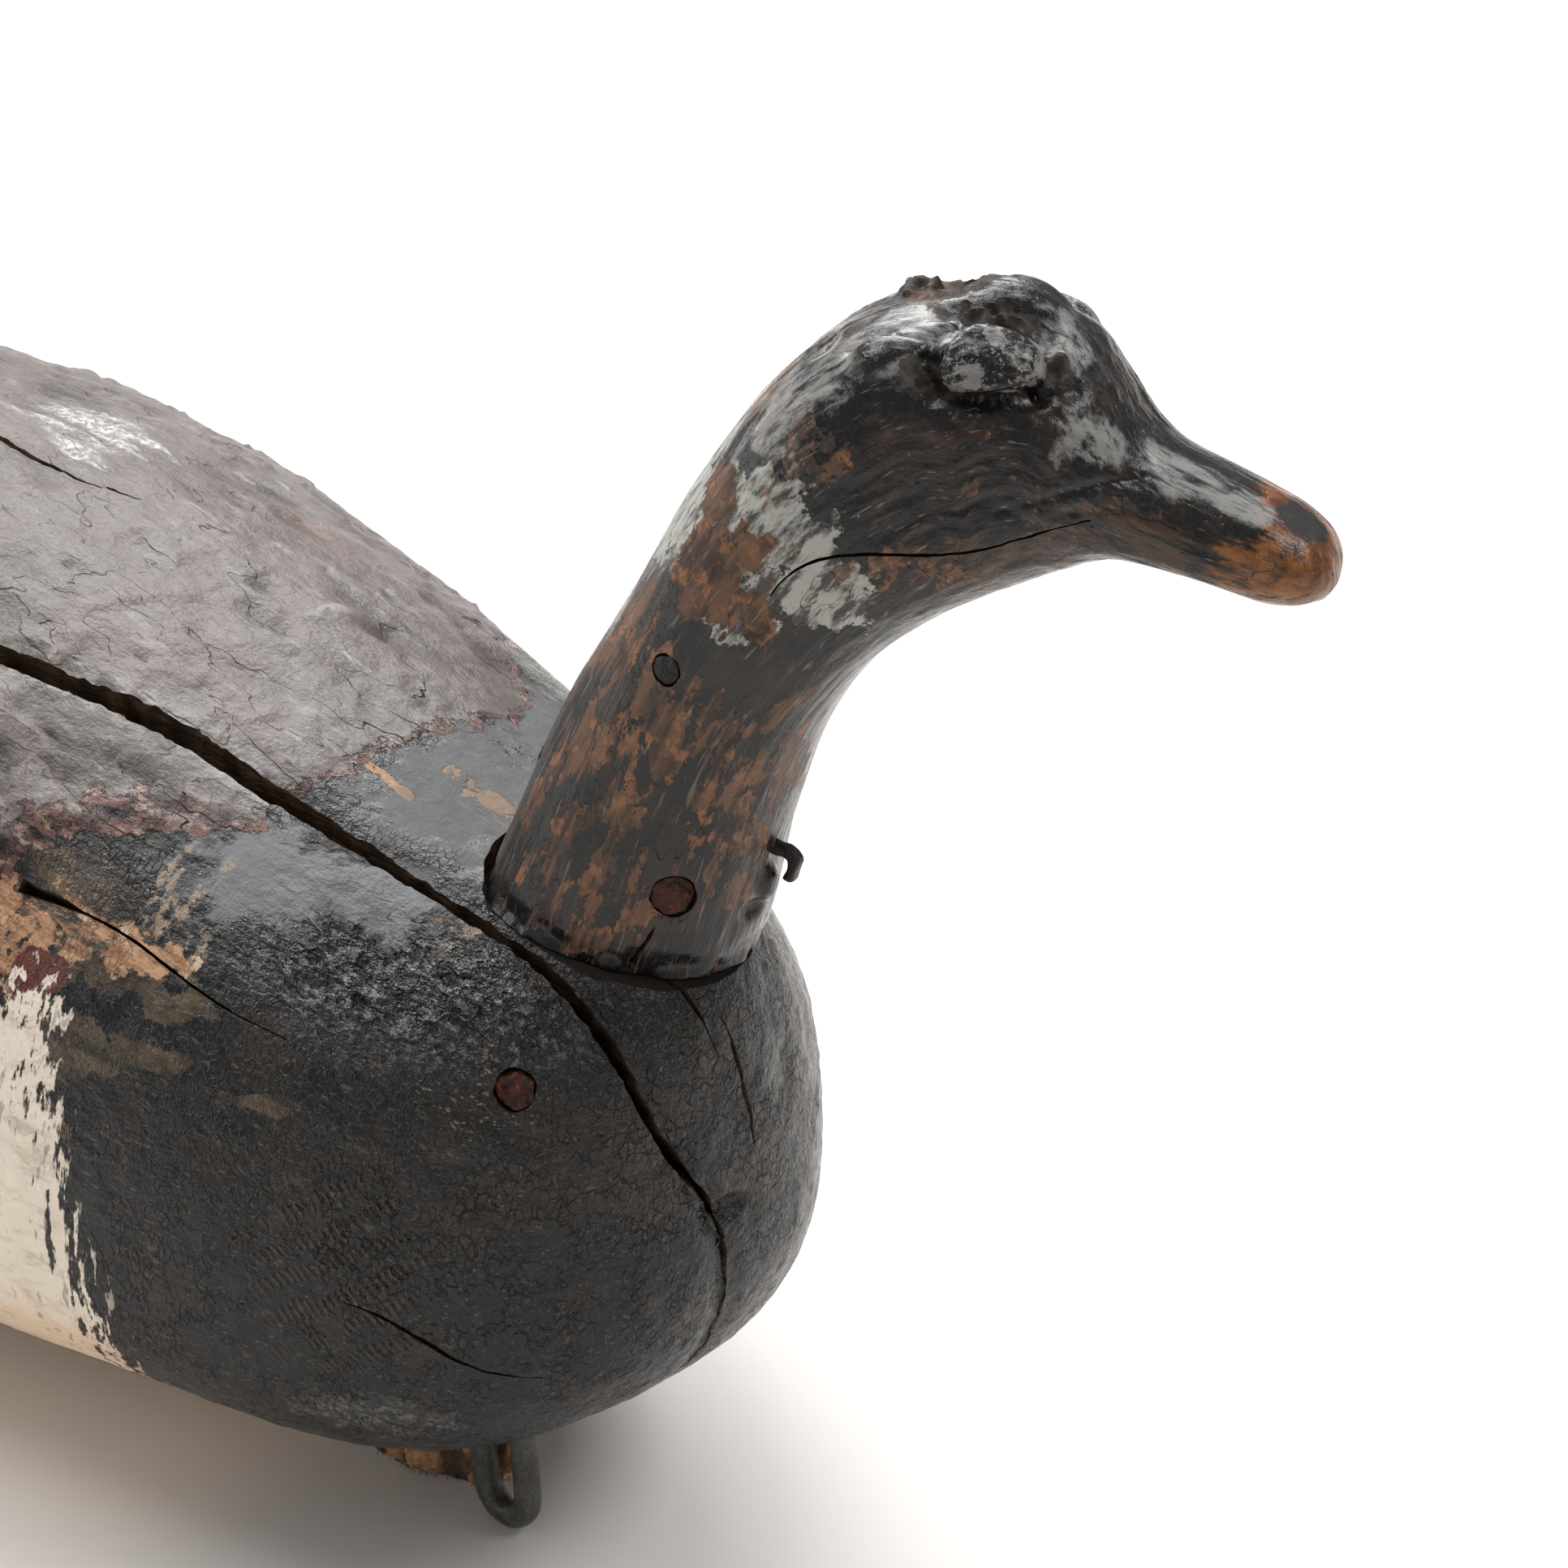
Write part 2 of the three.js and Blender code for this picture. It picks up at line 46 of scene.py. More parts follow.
def toRow(points):
    turn = math.radians(rest["pitch"])
    x, y, z = np.moveaxis(np.asarray(points, float), -1, 0)
    across = x * math.cos(turn) - z * math.sin(turn) + rest["x"]
    up = x * math.sin(turn) + z * math.cos(turn) + rest["z"]
    return np.stack([across, y, up], -1) / 1000


# Camera, floor and light
photoView = {"azimuth": 43.5, "elevation": 29.17, "roll": 1.045, "distance": 1.0,
             "aim": (0.1562, 0.0302, 0.1374), "lens": 143.5}
studio = {"floor": (0.87, 0.84, 0.81), "floorRough": 0.8, "floorSize": 6.0, "world": 0.34,
          "lightsAim": (0.05, 0, 0.08)}
softboxes = {  # watts, place and size of each, in metres
    "backSoftbox": (48.0, (-1.3, 0.78, 1.4), (1.7, 1.0)),
    "rightSoftbox": (12.0, (0.8, 0.66, 1.4), (1.0, 0.6)),
    "sideSoftbox": (9.0, (-0.75, -0.55, 1.45), (0.7, 0.55)),
    "lowSoftbox": (5.0, (-1.5, -1.0, 0.5), (0.8, 0.6)),
    "topSoftbox": (5.0, (-0.28, 0.22, 1.7), (0.6, 0.45)),
}


def link(name, data):
    # an object of its own name in the scene for a mesh, a lamp or a camera
    holder = bpy.data.objects.new(name, data)
    bpy.context.scene.collection.objects.link(holder)
    return holder


def addCamera():
    azimuth, elevation, roll = (math.radians(photoView[k]) for k in ("azimuth", "elevation", "roll"))
    back = Vector((math.cos(azimuth) * math.cos(elevation), -math.sin(azimuth) * math.cos(elevation),
                   math.sin(elevation)))
    camera = link("photoCamera", bpy.data.cameras.new("photoCamera"))
    tilt = Matrix.Rotation(roll, 3, "Z").to_quaternion()
    camera.rotation_mode = "QUATERNION"
    camera.rotation_quaternion = back.to_track_quat("Z", "Y") @ tilt
    camera.location = Vector(photoView["aim"]) + back * photoView["distance"]
    camera.data.lens = photoView["lens"]
    camera.data.sensor_width = 36
    camera.data.clip_start = 0.05
    bpy.context.scene.camera = camera


def addSoftbox(name, power, place, size):
    lamp = bpy.data.lights.new(name, "AREA")
    lamp.energy = power
    lamp.shape = "RECTANGLE"
    lamp.size, lamp.size_y = size
    holder = link(name, lamp)
    holder.location = place
    away = Vector(place) - Vector(studio["lightsAim"])
    holder.rotation_euler = away.to_track_quat("Z", "Y").to_euler()


def addStudio():
    half = studio["floorSize"] / 2
    corners = [(-half, -half, 0), (half, -half, 0), (half, half, 0), (-half, half, 0)]
    sheet = bpy.data.meshes.new("studioFloor")
    sheet.from_pydata(corners, [], [(0, 1, 2, 3)])
    paper = bpy.data.materials.new("studioPaper")
    paper.use_nodes = True
    shader = paper.node_tree.nodes["Principled BSDF"]
    shader.inputs["Base Color"].default_value = (*studio["floor"], 1)
    shader.inputs["Roughness"].default_value = studio["floorRough"]
    sheet.materials.append(paper)
    floor = link("studioFloor", sheet)
    sky = bpy.data.worlds.new("studioSky")
    sky.use_nodes = True
    sky.node_tree.nodes["Background"].inputs["Strength"].default_value = studio["world"]
    sky.node_tree.nodes["Background"].inputs["Color"].default_value = (1, 1, 1, 1)
    bpy.context.scene.world = sky
    bpy.context.scene.view_settings.view_transform = "Standard"
    for name, box in softboxes.items():
        addSoftbox(name, *box)


addCamera()
addStudio()
print("camera, floor and light set")


# Curves, noise and masks shared by the carved pieces
def smooth(value, low, high):
    t = np.clip((value - low) / (high - low), 0, 1)
    return t * t * (3 - 2 * t)


def cubicThrough(stations, values):
    # natural cubic through the values, held beyond its ends
    x, y = np.asarray(stations, float), np.asarray(values, float)
    step = np.diff(x)
    system = np.eye(len(x))
    turn = np.zeros(len(x))
    for i in range(1, len(x) - 1):
        system[i, i - 1:i + 2] = step[i - 1], 2 * (step[i - 1] + step[i]), step[i]
        turn[i] = 6 * ((y[i + 1] - y[i]) / step[i] - (y[i] - y[i - 1]) / step[i - 1])
    bend = np.linalg.solve(system, turn)

    def curve(at):
        at = np.clip(at, x[0], x[-1])
        i = np.clip(np.searchsorted(x, at, side="right") - 1, 0, len(x) - 2)
        h, t = step[i], at - x[i]
        slope = (y[i + 1] - y[i]) / h - h * (2 * bend[i] + bend[i + 1]) / 6
        return y[i] + t * (slope + t * (bend[i] / 2 + t * (bend[i + 1] - bend[i]) / (6 * h)))
    return curve


def signedPower(value, power):
    return np.sign(value) * np.abs(value) ** power


def unit(vectors):
    return vectors / (np.linalg.norm(vectors, axis=-1, keepdims=True) + 1e-12)


def fullTurn(count):
    return np.linspace(0, 2 * np.pi, count, endpoint=False)


def unitCircle(count):
    angle = fullTurn(count)
    return np.stack([np.cos(angle), np.sin(angle), 0 * angle], -1)


def spread(values, share):
    # values set out evenly over shares from 0 to 1
    return np.interp(share, np.linspace(0, 1, len(values)), values)


def runningSum(steps):
    return np.concatenate([[0], np.cumsum(steps)])


def hashed(cell, seed):
    # a fixed mix of whole numbers that looks random, -1 to 1
    x, y, z = (cell[..., k].astype(np.uint64) for k in range(3))
    h = x * np.uint64(374761393) + y * np.uint64(668265263) + z * np.uint64(2246822519)
    h = h + np.uint64(seed * 97 + 11)
    h = ((h ^ (h >> np.uint64(13))) * np.uint64(1274126177)) & np.uint64(0xffffffff)
    return ((h ^ (h >> np.uint64(16))) & np.uint64(0xffff)).astype(float) / 32767.5 - 1


def noise(points, size, seed, octaves=1):
    # smooth values in -1..1 that change over about one size, which may differ along x, y and z
    total, weight, scale = 0.0, 0.0, 1.0
    for octave in range(octaves):
        q = points / np.asarray(size, float) * scale + 1000
        cell = np.floor(q).astype(np.int64)
        f = q - cell
        f = f * f * f * (f * (6 * f - 15) + 10)
        value = 0
        for corner in np.ndindex(2, 2, 2):
            share = np.prod(np.where(np.array(corner) == 1, f, 1 - f), axis=-1)
            value = value + share * hashed(cell + np.array(corner), seed + octave)
        total = total + value / scale
        weight += 1 / scale
        scale *= 2
    return total / weight * 1.6


# Grids as closed meshes
def arcSteps(points):
    return np.sqrt((np.diff(points, axis=0) ** 2).sum(-1))


def resampled(points, run, at):
    return np.stack([np.interp(at, run, points[:, k]) for k in range(points.shape[1])], -1)


def evenRing(ring, count, density):
    # the same closed outline with its points spread by arc length and density
    closed = np.vstack([ring, ring[:1]])
    weight = (density + np.roll(density, -1)) / 2
    run = runningSum(arcSteps(closed) * weight)
    return resampled(closed, run, np.linspace(0, run[-1], count, endpoint=False))


def gridNormals(grid):
    along = np.gradient(grid, axis=0)
    around = np.roll(grid, -1, 1) - np.roll(grid, 1, 1)
    normal = unit(np.cross(around, along))
    middle = grid.mean(1, keepdims=True)
    return normal * np.sign(((grid - middle) * normal).sum(-1).mean())


def gridMesh(name, grid, firstPole, lastPole):
    # rings of a grid joined by quads, with a fan of triangles to each pole
    rows, around = grid.shape[:2]
    corner = np.arange(rows * around).reshape(rows, around)
    a, b = corner[:-1], corner[1:]
    quads = np.stack([a, np.roll(a, -1, 1), np.roll(b, -1, 1), b], -1).reshape(-1, 4)
    first, last = rows * around, rows * around + 1
    fans = [(first, int(corner[0, (j + 1) % around]), int(corner[0, j])) for j in range(around)]
    fans += [(last, int(corner[-1, j]), int(corner[-1, (j + 1) % around])) for j in range(around)]
    mesh = bpy.data.meshes.new(name)
    points = np.vstack([grid.reshape(-1, 3), firstPole, lastPole])
    mesh.from_pydata(toRow(points).tolist(), [], quads.tolist() + fans)
    turnOutward(mesh)
    return mesh


def withPoles(values):
    # a grid's values as its mesh lists them, each pole like a point of the ring beside it
    return np.concatenate([values.ravel(), values[0, :1], values[-1, :1]])


def turnOutward(mesh):
    # flips every face of a closed mesh whose volume comes out negative
    corners = np.zeros(len(mesh.vertices) * 3)
    mesh.vertices.foreach_get("co", corners)
    corners = corners.reshape(-1, 3) - corners.reshape(-1, 3).mean(0)
    mesh.calc_loop_triangles()
    tris = np.zeros(len(mesh.loop_triangles) * 3, int)
    mesh.loop_triangles.foreach_get("vertices", tris)
    a, b, c = (corners[tris.reshape(-1, 3)[:, k]] for k in range(3))
    if (a * np.cross(b, c)).sum() < 0:
        mesh.flip_normals()


def storeField(mesh, name, values):
    field = mesh.attributes.new(name, "FLOAT", "POINT")
    field.data.foreach_set("value", np.asarray(values, np.float32))


def addObject(mesh):
    return link(mesh.name, mesh)


def keepFields(before, after):
    # points made by a cut have no paint of their own, so every point takes that of the nearest old one
    nearest = KDTree(len(before.vertices))
    for vertex in before.vertices:
        nearest.insert(vertex.co, vertex.index)
    nearest.balance()
    rows = [nearest.find(vertex.co)[1] for vertex in after.vertices]
    for field in before.attributes:
        if field.data_type == "FLOAT" and field.domain == "POINT":
            values = np.zeros(len(before.vertices), np.float32)
            field.data.foreach_get("value", values)
            after.attributes[field.name].data.foreach_set("value", values[rows])


def cutAway(piece, cutters, wall):
    # takes closed cutters out of a piece; the cut walls get their own material
    for cutter in cutters:
        cutter.data.materials.append(wall)
        cut = piece.modifiers.new("cut", "BOOLEAN")
        cut.operation, cut.solver, cut.object = "DIFFERENCE", "MANIFOLD", cutter
        cut.material_mode = "TRANSFER"
    whole = bpy.data.meshes.new_from_object(piece.evaluated_get(bpy.context.evaluated_depsgraph_get()))
    piece.modifiers.clear()
    old, piece.data = piece.data, whole
    whole.name = old.name
    keepFields(old, whole)
    for cutter in cutters:
        bpy.data.objects.remove(cutter)


def loftMesh(name, rings):
    # closed solid through rings of equal count, each end closed by a fan
    rings = np.asarray(rings, float)
    return gridMesh(name, rings, rings[0].mean(0), rings[-1].mean(0))


# Body
bodyPlan = {
    "length": 420.5, "width": 184, "height": 132, "breastRun": 71, "tailRun": 14, "shave": 2.5,
    "stations": (0, 0.048, 0.143, 0.285, 0.476, 0.666, 0.809, 0.904, 1),
    "back": (0.515, 0.585, 0.745, 0.92, 1, 0.953, 0.852, 0.788, 0.781),
    "keel": (0.409, 0.334, 0.151, 0, 0, 0, 0, 0, 0.06),
    "half": (0.26, 0.46, 0.72, 0.935, 0.995, 0.86, 0.728, 0.609, 0.521),
    "level": (0.462, 0.454, 0.424, 0.394, 0.379, 0.379, 0.371, 0.386, 0.409),
    "upperFullness": 2.3, "lowerFullness": 2.6, "closing": (6, 2.34, 2.3),
    "rows": 236, "tailRows": 0.06, "breastRows": 104, "around": 256, "seenSide": 150, "crowding": 0.42,
}
bodyCurves = {k: cubicThrough(bodyPlan["stations"], bodyPlan[k]) for k in ("back", "keel", "half", "level")}


def bodySection(x):
    # height of the widest line, half width, and reach above and below it
    plan = bodyPlan
    back, keel, half, level = (bodyCurves[k](x / plan["length"]) for k in ("back", "keel", "half", "level"))
    front = np.clip((x - plan["length"] + plan["breastRun"]) / plan["breastRun"], 0, 1)
    tail = np.sqrt(1 - np.clip((plan["tailRun"] - x) / plan["tailRun"], 0, 1) ** 2)
    closed = [tail * (1 - front ** power) ** (1 / power) for power in plan["closing"]]
    middle = level * plan["height"]
    up = (back * plan["height"] - middle) * closed[0]
    down = (middle - keel * plan["height"] + plan["shave"]) * closed[2]
    return middle, half * plan["width"] / 2 * closed[1], up, down


def bodyDepth(p):
    # below 1 inside the wood, above 1 outside
    x = np.clip(p[..., 0], 1e-3, bodyPlan["length"] - 1e-6)
    middle, half, up, down = bodySection(x)
    over = p[..., 2] > middle
    power = np.where(over, bodyPlan["upperFullness"], bodyPlan["lowerFullness"])
    rise = np.abs(p[..., 2] - middle) / np.maximum(np.where(over, up, down), 1e-9)
    value = (np.abs(p[..., 1]) / np.maximum(half, 1e-9)) ** power + rise ** power
    outside = (p[..., 0] <= 0) | (p[..., 0] >= bodyPlan["length"]) | (p[..., 2] < 0)
    return np.where(outside, 2, value)


def alongRay(start, reach):
    # where rays from inside the body leave the wood
    near, far = np.zeros(reach.shape[:-1]), np.ones(reach.shape[:-1])
    for _ in range(40):
        half = (near + far) / 2
        inside = bodyDepth(start + reach * half[..., None]) < 1
        near, far = np.where(inside, half, near), np.where(inside, far, half)
    return start + reach * near[..., None]


def onSkin(p):
    x = np.clip(p[..., 0], 0.2 * bodyPlan["length"], bodyPlan["length"] - bodyPlan["breastRun"])
    start = np.stack([x, 0 * x, bodySection(x)[0]], -1)
    return alongRay(start, (p - start) * 3)


def skinNormal(p, step=0.4):
    middle = bodySection(p[..., 0])[0]
    inner = np.stack([np.minimum(p[..., 0], bodyPlan["length"] - 30), 0 * middle, middle], -1)
    p = p + (inner - p) * 0.02
    return unit(np.stack([bodyDepth(p + d) - bodyDepth(p - d) for d in np.eye(3) * step], -1))


def bodyGrid():
    plan = bodyPlan
    length, run, curl = plan["length"], plan["breastRun"], plan["tailRun"]
    angle = fullTurn(900)
    density = 1 + plan["crowding"] * np.cos(angle - math.radians(plan["seenSide"]))
    share = np.arange(1, plan["rows"] + 1) / plan["rows"]
    rounded = curl * (1 - np.cos(np.pi / 2 * share / plan["tailRows"]))
    even = (share - plan["tailRows"]) / (1 - plan["tailRows"])
    straight = curl + (length - run - curl) * even * (1.33 - 0.33 * even)
    rings = []
    for x in np.where(share < plan["tailRows"], rounded, straight):
        middle, half, up, down = bodySection(x)
        high = np.sin(angle) > 0
        power = np.where(high, 2 / plan["upperFullness"], 2 / plan["lowerFullness"])
        y = half * signedPower(np.cos(angle), power)
        z = middle + np.where(high, up, down) * signedPower(np.sin(angle), power)
        ring = np.stack([0 * y + x, y, np.maximum(z, 0)], -1)
        rings.append(evenRing(ring, plan["around"], density))
    centre = np.array([length - run, 0, bodySection(np.array(length - run))[0]])
    spoke = unit(rings[-1] - centre)
    for turn in np.pi / 2 * np.arange(1, plan["breastRows"]) / plan["breastRows"]:
        ray = spoke * math.cos(turn) + np.array([1, 0, 0]) * math.sin(turn)
        rings.append(alongRay(centre + 0 * ray, ray * 160))
    tail = [0, 0, bodySection(np.array(0.0))[0]]
    return np.array(rings), tail, [length, 0, centre[2]]


def nearLine(p, line):
    # distance to a line of points, the share of its length there, and the side (+ to the line's left)
    best = np.full(p.shape[:-1], 1e9)
    share, side = np.zeros_like(best), np.zeros_like(best)
    run = runningSum(arcSteps(line))
    for i in range(len(line) - 1):
        way = line[i + 1] - line[i]
        t = np.clip(((p - line[i]) @ way) / (way @ way), 0, 1)
        off = p - line[i] - t[..., None] * way
        away = np.linalg.norm(off, axis=-1)
        closer = away < best
        best = np.where(closer, away, best)
        share = np.where(closer, (run[i] + t * (run[i + 1] - run[i])) / run[-1], share)
        side = np.where(closer, np.sign(way[0] * off[..., 1] - way[1] * off[..., 0]), side)
    return best, share, side


def throughPoints(points, count):
    # centripetal curve through chosen points, evenly sampled
    points = np.asarray(points, float)
    run = runningSum(np.sqrt(arcSteps(points)))
    fine = np.linspace(0, run[-1], 40 * len(points))
    dense = np.stack([cubicThrough(run, points[:, k])(fine) for k in range(3)], -1)
    length = runningSum(arcSteps(dense))
    return resampled(dense, length, np.linspace(0, length[-1], count))


# Drying checks: places on the skin, then widths and depths in millimetres
bodyChecks = {
    "longCheck": {"through": ((178, -37.7, 127), (220, -36.8, 126), (282, -32.3, 120.6), (308, -26.5, 117),
                              (342, -22, 110), (388, -18, 101), (413, -17, 90), (419.7, -9.4, 67),
                              (420.4, -2, 54), (414.6, 2.7, 31), (398, 6, 10)),
                  "width": (0.7, 2.5, 4.2, 4.2, 4.1, 3.6, 3.1, 2.5, 1.9, 0.45, 0.2),
                  "depth": (5, 11, 17, 17, 17, 16, 15, 13, 10, 3, 2), "ragged": 0.4},
    "sideCheck": {"through": ((314, -56.5, 97.8), (336.6, -52.3, 94.6), (354.7, -50.5, 89.3),
                              (371, -47.1, 85.7)),
                  "width": (3.4, 0.5, 0.6, 0.45, 0.3), "depth": (6, 4, 4, 3, 2), "ragged": 0.12},
    "lowCheck": {"through": ((383.7, -50.8, 44.2), (391.1, -46.2, 41.4), (401.5, -35.5, 32),
                             (406, -28, 30)),
                 "width": (0.2, 0.7, 0.9, 0.5, 0.3), "depth": (1.5, 4, 4, 3, 1), "ragged": 0.15},
    "backCheck": {"through": ((196, 7, 131), (227, 9, 130), (250, 9.5, 129), (262, 12.5, 127)),
                  "width": (0.3, 1.3, 1.4, 0.8, 0.3), "depth": (2, 5, 5, 4, 1.5), "ragged": 0.25},
    "breastCheck": {"through": ((406, -5, 102), (413, -3, 93), (417, -1, 87), (419.4, 1.2, 80.5)),
                    "width": (0.4, 1.1, 1.0, 0.5, 0.2), "depth": (2, 5, 5, 3, 1), "ragged": 0.2},
    "breastCheckLow": {"through": ((418, 2.5, 87), (418.6, 3.9, 83.5), (420, 6.5, 72), (420, 7.6, 61)),
                       "width": (0.3, 0.8, 0.9, 0.7, 0.2), "depth": (2, 4, 4, 3, 1), "ragged": 0.2},
    "leftCheck": {"through": ((252, 62, 96), (290, 62, 90), (330, 55, 82), (352, 49, 76)),
                  "width": (0.3, 0.9, 1.2, 0.8, 0.3), "depth": (2, 4, 5, 4, 1), "ragged": 0.2},
    "tailCheck": {"through": ((8, 6, 68), (30, 8, 79), (62, 9, 94), (92, 12, 106)),
                  "width": (0.8, 1.3, 0.9, 0.3), "depth": (4, 5, 4, 1.5), "ragged": 0.25},
}


def checkCutter(name, plan, seed, snap, place):
    # a ragged wedge that follows the skin; snap puts points on the skin and gives the way out there
    count = int(arcSteps(np.asarray(plan["through"], float)).sum() / plan.get("spacing", 1.1)) + 8
    path, out = snap(throughPoints(plan["through"], count))
    wide, deep = (spread(plan[k], np.linspace(0, 1, count))[:, None] for k in ("width", "depth"))
    side = unit(np.cross(out, np.gradient(path, axis=0)))
    edge = [noise(path, 2.2, seed + k, 2)[:, None] * plan["ragged"] for k in (0, 1)]
    wander = noise(path, 6, seed + 2, 2)[:, None] * plan["ragged"] * 2
    flare = plan.get("flare", 2.5)
    lip = 1 + 0.5 * flare / deep

    def wall(level, spread, shift):
        return path + out * level + side * (wide * spread / 2 + shift)
    rings = np.stack([
        wall(flare, lip, edge[0]), wall(0, 1, edge[0]), wall(-deep * 0.5, 0.62, wander),
        wall(-deep, 0.06, wander), wall(-deep, -0.06, wander), wall(-deep * 0.45, -0.66, wander),
        wall(0, -1, -edge[1]), wall(flare, -lip, -edge[1]),
    ], 1)
    return addObject(loftMesh(name, place(rings))), path


def bodySnap(points):
    skin = onSkin(points)
    return skin, skinNormal(skin)


# Carving and wear of the body. Places in millimetres, sizes are half sizes along x, y and z
bodyGouges = (
    {"at": (304, 6, 120), "size": (9, 4, 8), "lift": -1.1},
    {"at": (309, 17, 119.5), "size": (3.5, 7, 8), "lift": 1.0},
    {"at": (315, 22, 118), "size": (5, 5, 8), "lift": -1.0},
    {"at": (296, 12, 121), "size": (4, 2.5, 8), "lift": -1.2},
    {"at": (266, 26, 125), "size": (11, 5, 8), "lift": -0.8},
    {"at": (279, 35, 121), "size": (9, 4, 8), "lift": -0.7},
    {"at": (276, 19, 124.5), "size": (14, 2.5, 8), "lift": 0.6},
    {"at": (326, 40, 110), "size": (9, 6, 8), "lift": -0.9},
    {"at": (315, -57, 98), "size": (8, 6, 6), "lift": -1.6},
    {"at": (409, -20, 91.5), "size": (9, 3, 7), "lift": -1.1},
    {"at": (419.5, 1.5, 54), "size": (6, 4.5, 2.5), "lift": -1.6},
    {"at": (416, 17, 70), "size": (6, 5, 8), "lift": -0.5},
    {"at": (404, -34, 66), "size": (6, 5, 7), "lift": -0.5},
)
paintPatches = {
    "bareWood": (
        {"at": (319, -58, 94), "size": (12, 9, 5.5)}, {"at": (331, -55, 94), "size": (12, 6, 4.5)},
        {"at": (344, -52, 92.5), "size": (6, 4, 2.4)}, {"at": (312, -62, 88), "size": (10, 8, 5)},
        {"at": (303, -64, 84), "size": (9, 8, 6)}, {"at": (362, 4, 107.5), "size": (7, 2.4, 4)},
        {"at": (350, -6, 110), "size": (9, 1.2, 4)}, {"at": (383, -22, 104), "size": (6, 1.6, 4)},
        {"at": (250, 72, 88), "size": (12, 9, 8)}, {"at": (331, 60, 76), "size": (7, 6, 5)},
    ),
    "tanSmear": (
        {"at": (338, -43, 102), "size": (1.8, 8, 6)}, {"at": (344.5, -42, 101.5), "size": (1.5, 8, 5)},
        {"at": (341, -48, 97), "size": (3, 5, 4)}, {"at": (349, -47, 95), "size": (2.5, 4, 3)},
        {"at": (386, -24, 101), "size": (3, 5, 3)}, {"at": (318, -31, 114), "size": (5, 1.5, 4)},
    ),
    # painted sheen: black paint drawn as a lighter grey for the light it catches, at the neck seat and the
    # right shoulder
    "sheenGrey": (
        {"at": (352, -34, 103), "size": (16, 11, 6)}, {"at": (370, -25, 103), "size": (16, 9, 5)},
        {"at": (362, 4, 108), "size": (20, 18, 7)}, {"at": (346, 30, 104), "size": (14, 16, 8)},
    ),
    "darkRed": (
        {"at": (325, -62, 87), "size": (5.5, 5, 4)}, {"at": (303, -62, 92), "size": (7, 6, 3)},
        {"at": (262, 78, 74), "size": (8, 6, 5)},
    ),
    "brownPatch": (
        {"at": (337, -64, 78), "size": (9, 6, 5)}, {"at": (350, -60, 79), "size": (8, 6, 1.8)},
        {"at": (350, -54, 87), "size": (8, 6, 2.6)}, {"at": (331, -69, 65), "size": (6, 6, 2.6)},
        {"at": (372, -55, 76), "size": (7, 5, 1.6)}, {"at": (383, -36, 98), "size": (4, 5, 3)},
        {"at": (334, -55, 92), "size": (20, 6, 7)}, {"at": (326, -54, 100), "size": (12, 6, 3.5)},
        {"at": (352, 58, 60), "size": (12, 8, 6)},
    ),
    "sawn": ({"at": (384, -51, 50), "size": (17, 14, 19)},),
    "nailScuff": ({"at": (402, -34, 82), "size": (10, 9, 7)},),
    "greyScuff": (
        {"at": (382, -46, 20), "size": (13, 10, 4)}, {"at": (417, 15, 74), "size": (3, 3, 7)},
        {"at": (230, 27, 128), "size": (12, 5, 6)}, {"at": (238, 16, 129), "size": (9, 1.6, 6)},
    ),
}


def patchField(p, patches):
    # 1 in the middle of a patch, 0 at its edge, down to -1 away from all of them
    field = np.full(p.shape[:-1], -1.0)
    for patch in patches:
        away = np.linalg.norm((p - patch["at"]) / patch["size"], axis=-1)
        field = np.maximum(field, 1 - away)
    return field


# Where the coats end: how far forward, how high or low, and how far an edge curves. Millimetres
coatEdges = {"greyFront": 343, "greyCurve": 34, "greyLow": 99, "flankFront": 336, "flankCurve": 6,
             "flankTop": 80, "flankWave": 4, "creamTop": 27, "tailFront": 46, "tailCurve": 8}
# Heights of wear in millimetres, with the middles and half sizes of the filed and sawn places
bodyWear = {"facets": 0.55, "fineFacets": 0.28, "lumps": 0.6, "fineLumps": 0.3, "coat": 0.3, "ridges": 0.6,
            "hollows": 0.5, "flakes": 0.45, "pits": 0.16, "lipRounding": 0.9, "lipWear": 1.3,
            "filed": 0.42, "fineFiled": 0.16, "filedAt": (384, -32), "filedSize": (30, 13),
            "sawn": 0.22, "sawPitch": 1.9, "sawnAt": (388, 57), "sawnSize": (8, 13)}


def bodyPaint(p):
    # how far each point is inside a coat of paint, in millimetres, for the material to make ragged
    x, y, z = np.moveaxis(p, -1, 0)
    ends = coatEdges
    reach = ends["greyFront"] - ends["greyCurve"] * smooth(np.abs(y), 25, 58)
    grey = np.minimum(reach - x, (z - ends["greyLow"]) * 1.5 + 40 * smooth(x, 60, 0))
    front = ends["flankFront"] - ends["flankCurve"] * smooth(z, 50, 80)
    flank = np.minimum(front - x, ends["flankTop"] - z + ends["flankWave"] * np.sin(x / 23))
    tail = ends["tailFront"] + ends["tailCurve"] * smooth(np.abs(y), 10, 40) - x
    cream = ends["creamTop"] - z
    return {"greyCoat": grey, "flankCoat": flank, "tailCoat": tail, "creamCoat": cream}


def zone(across, along, middle, size):
    # 1 inside a rounded square, 0 outside
    return np.exp(-(((across - middle[0]) / size[0]) ** 4 + ((along - middle[1]) / size[1]) ** 4))


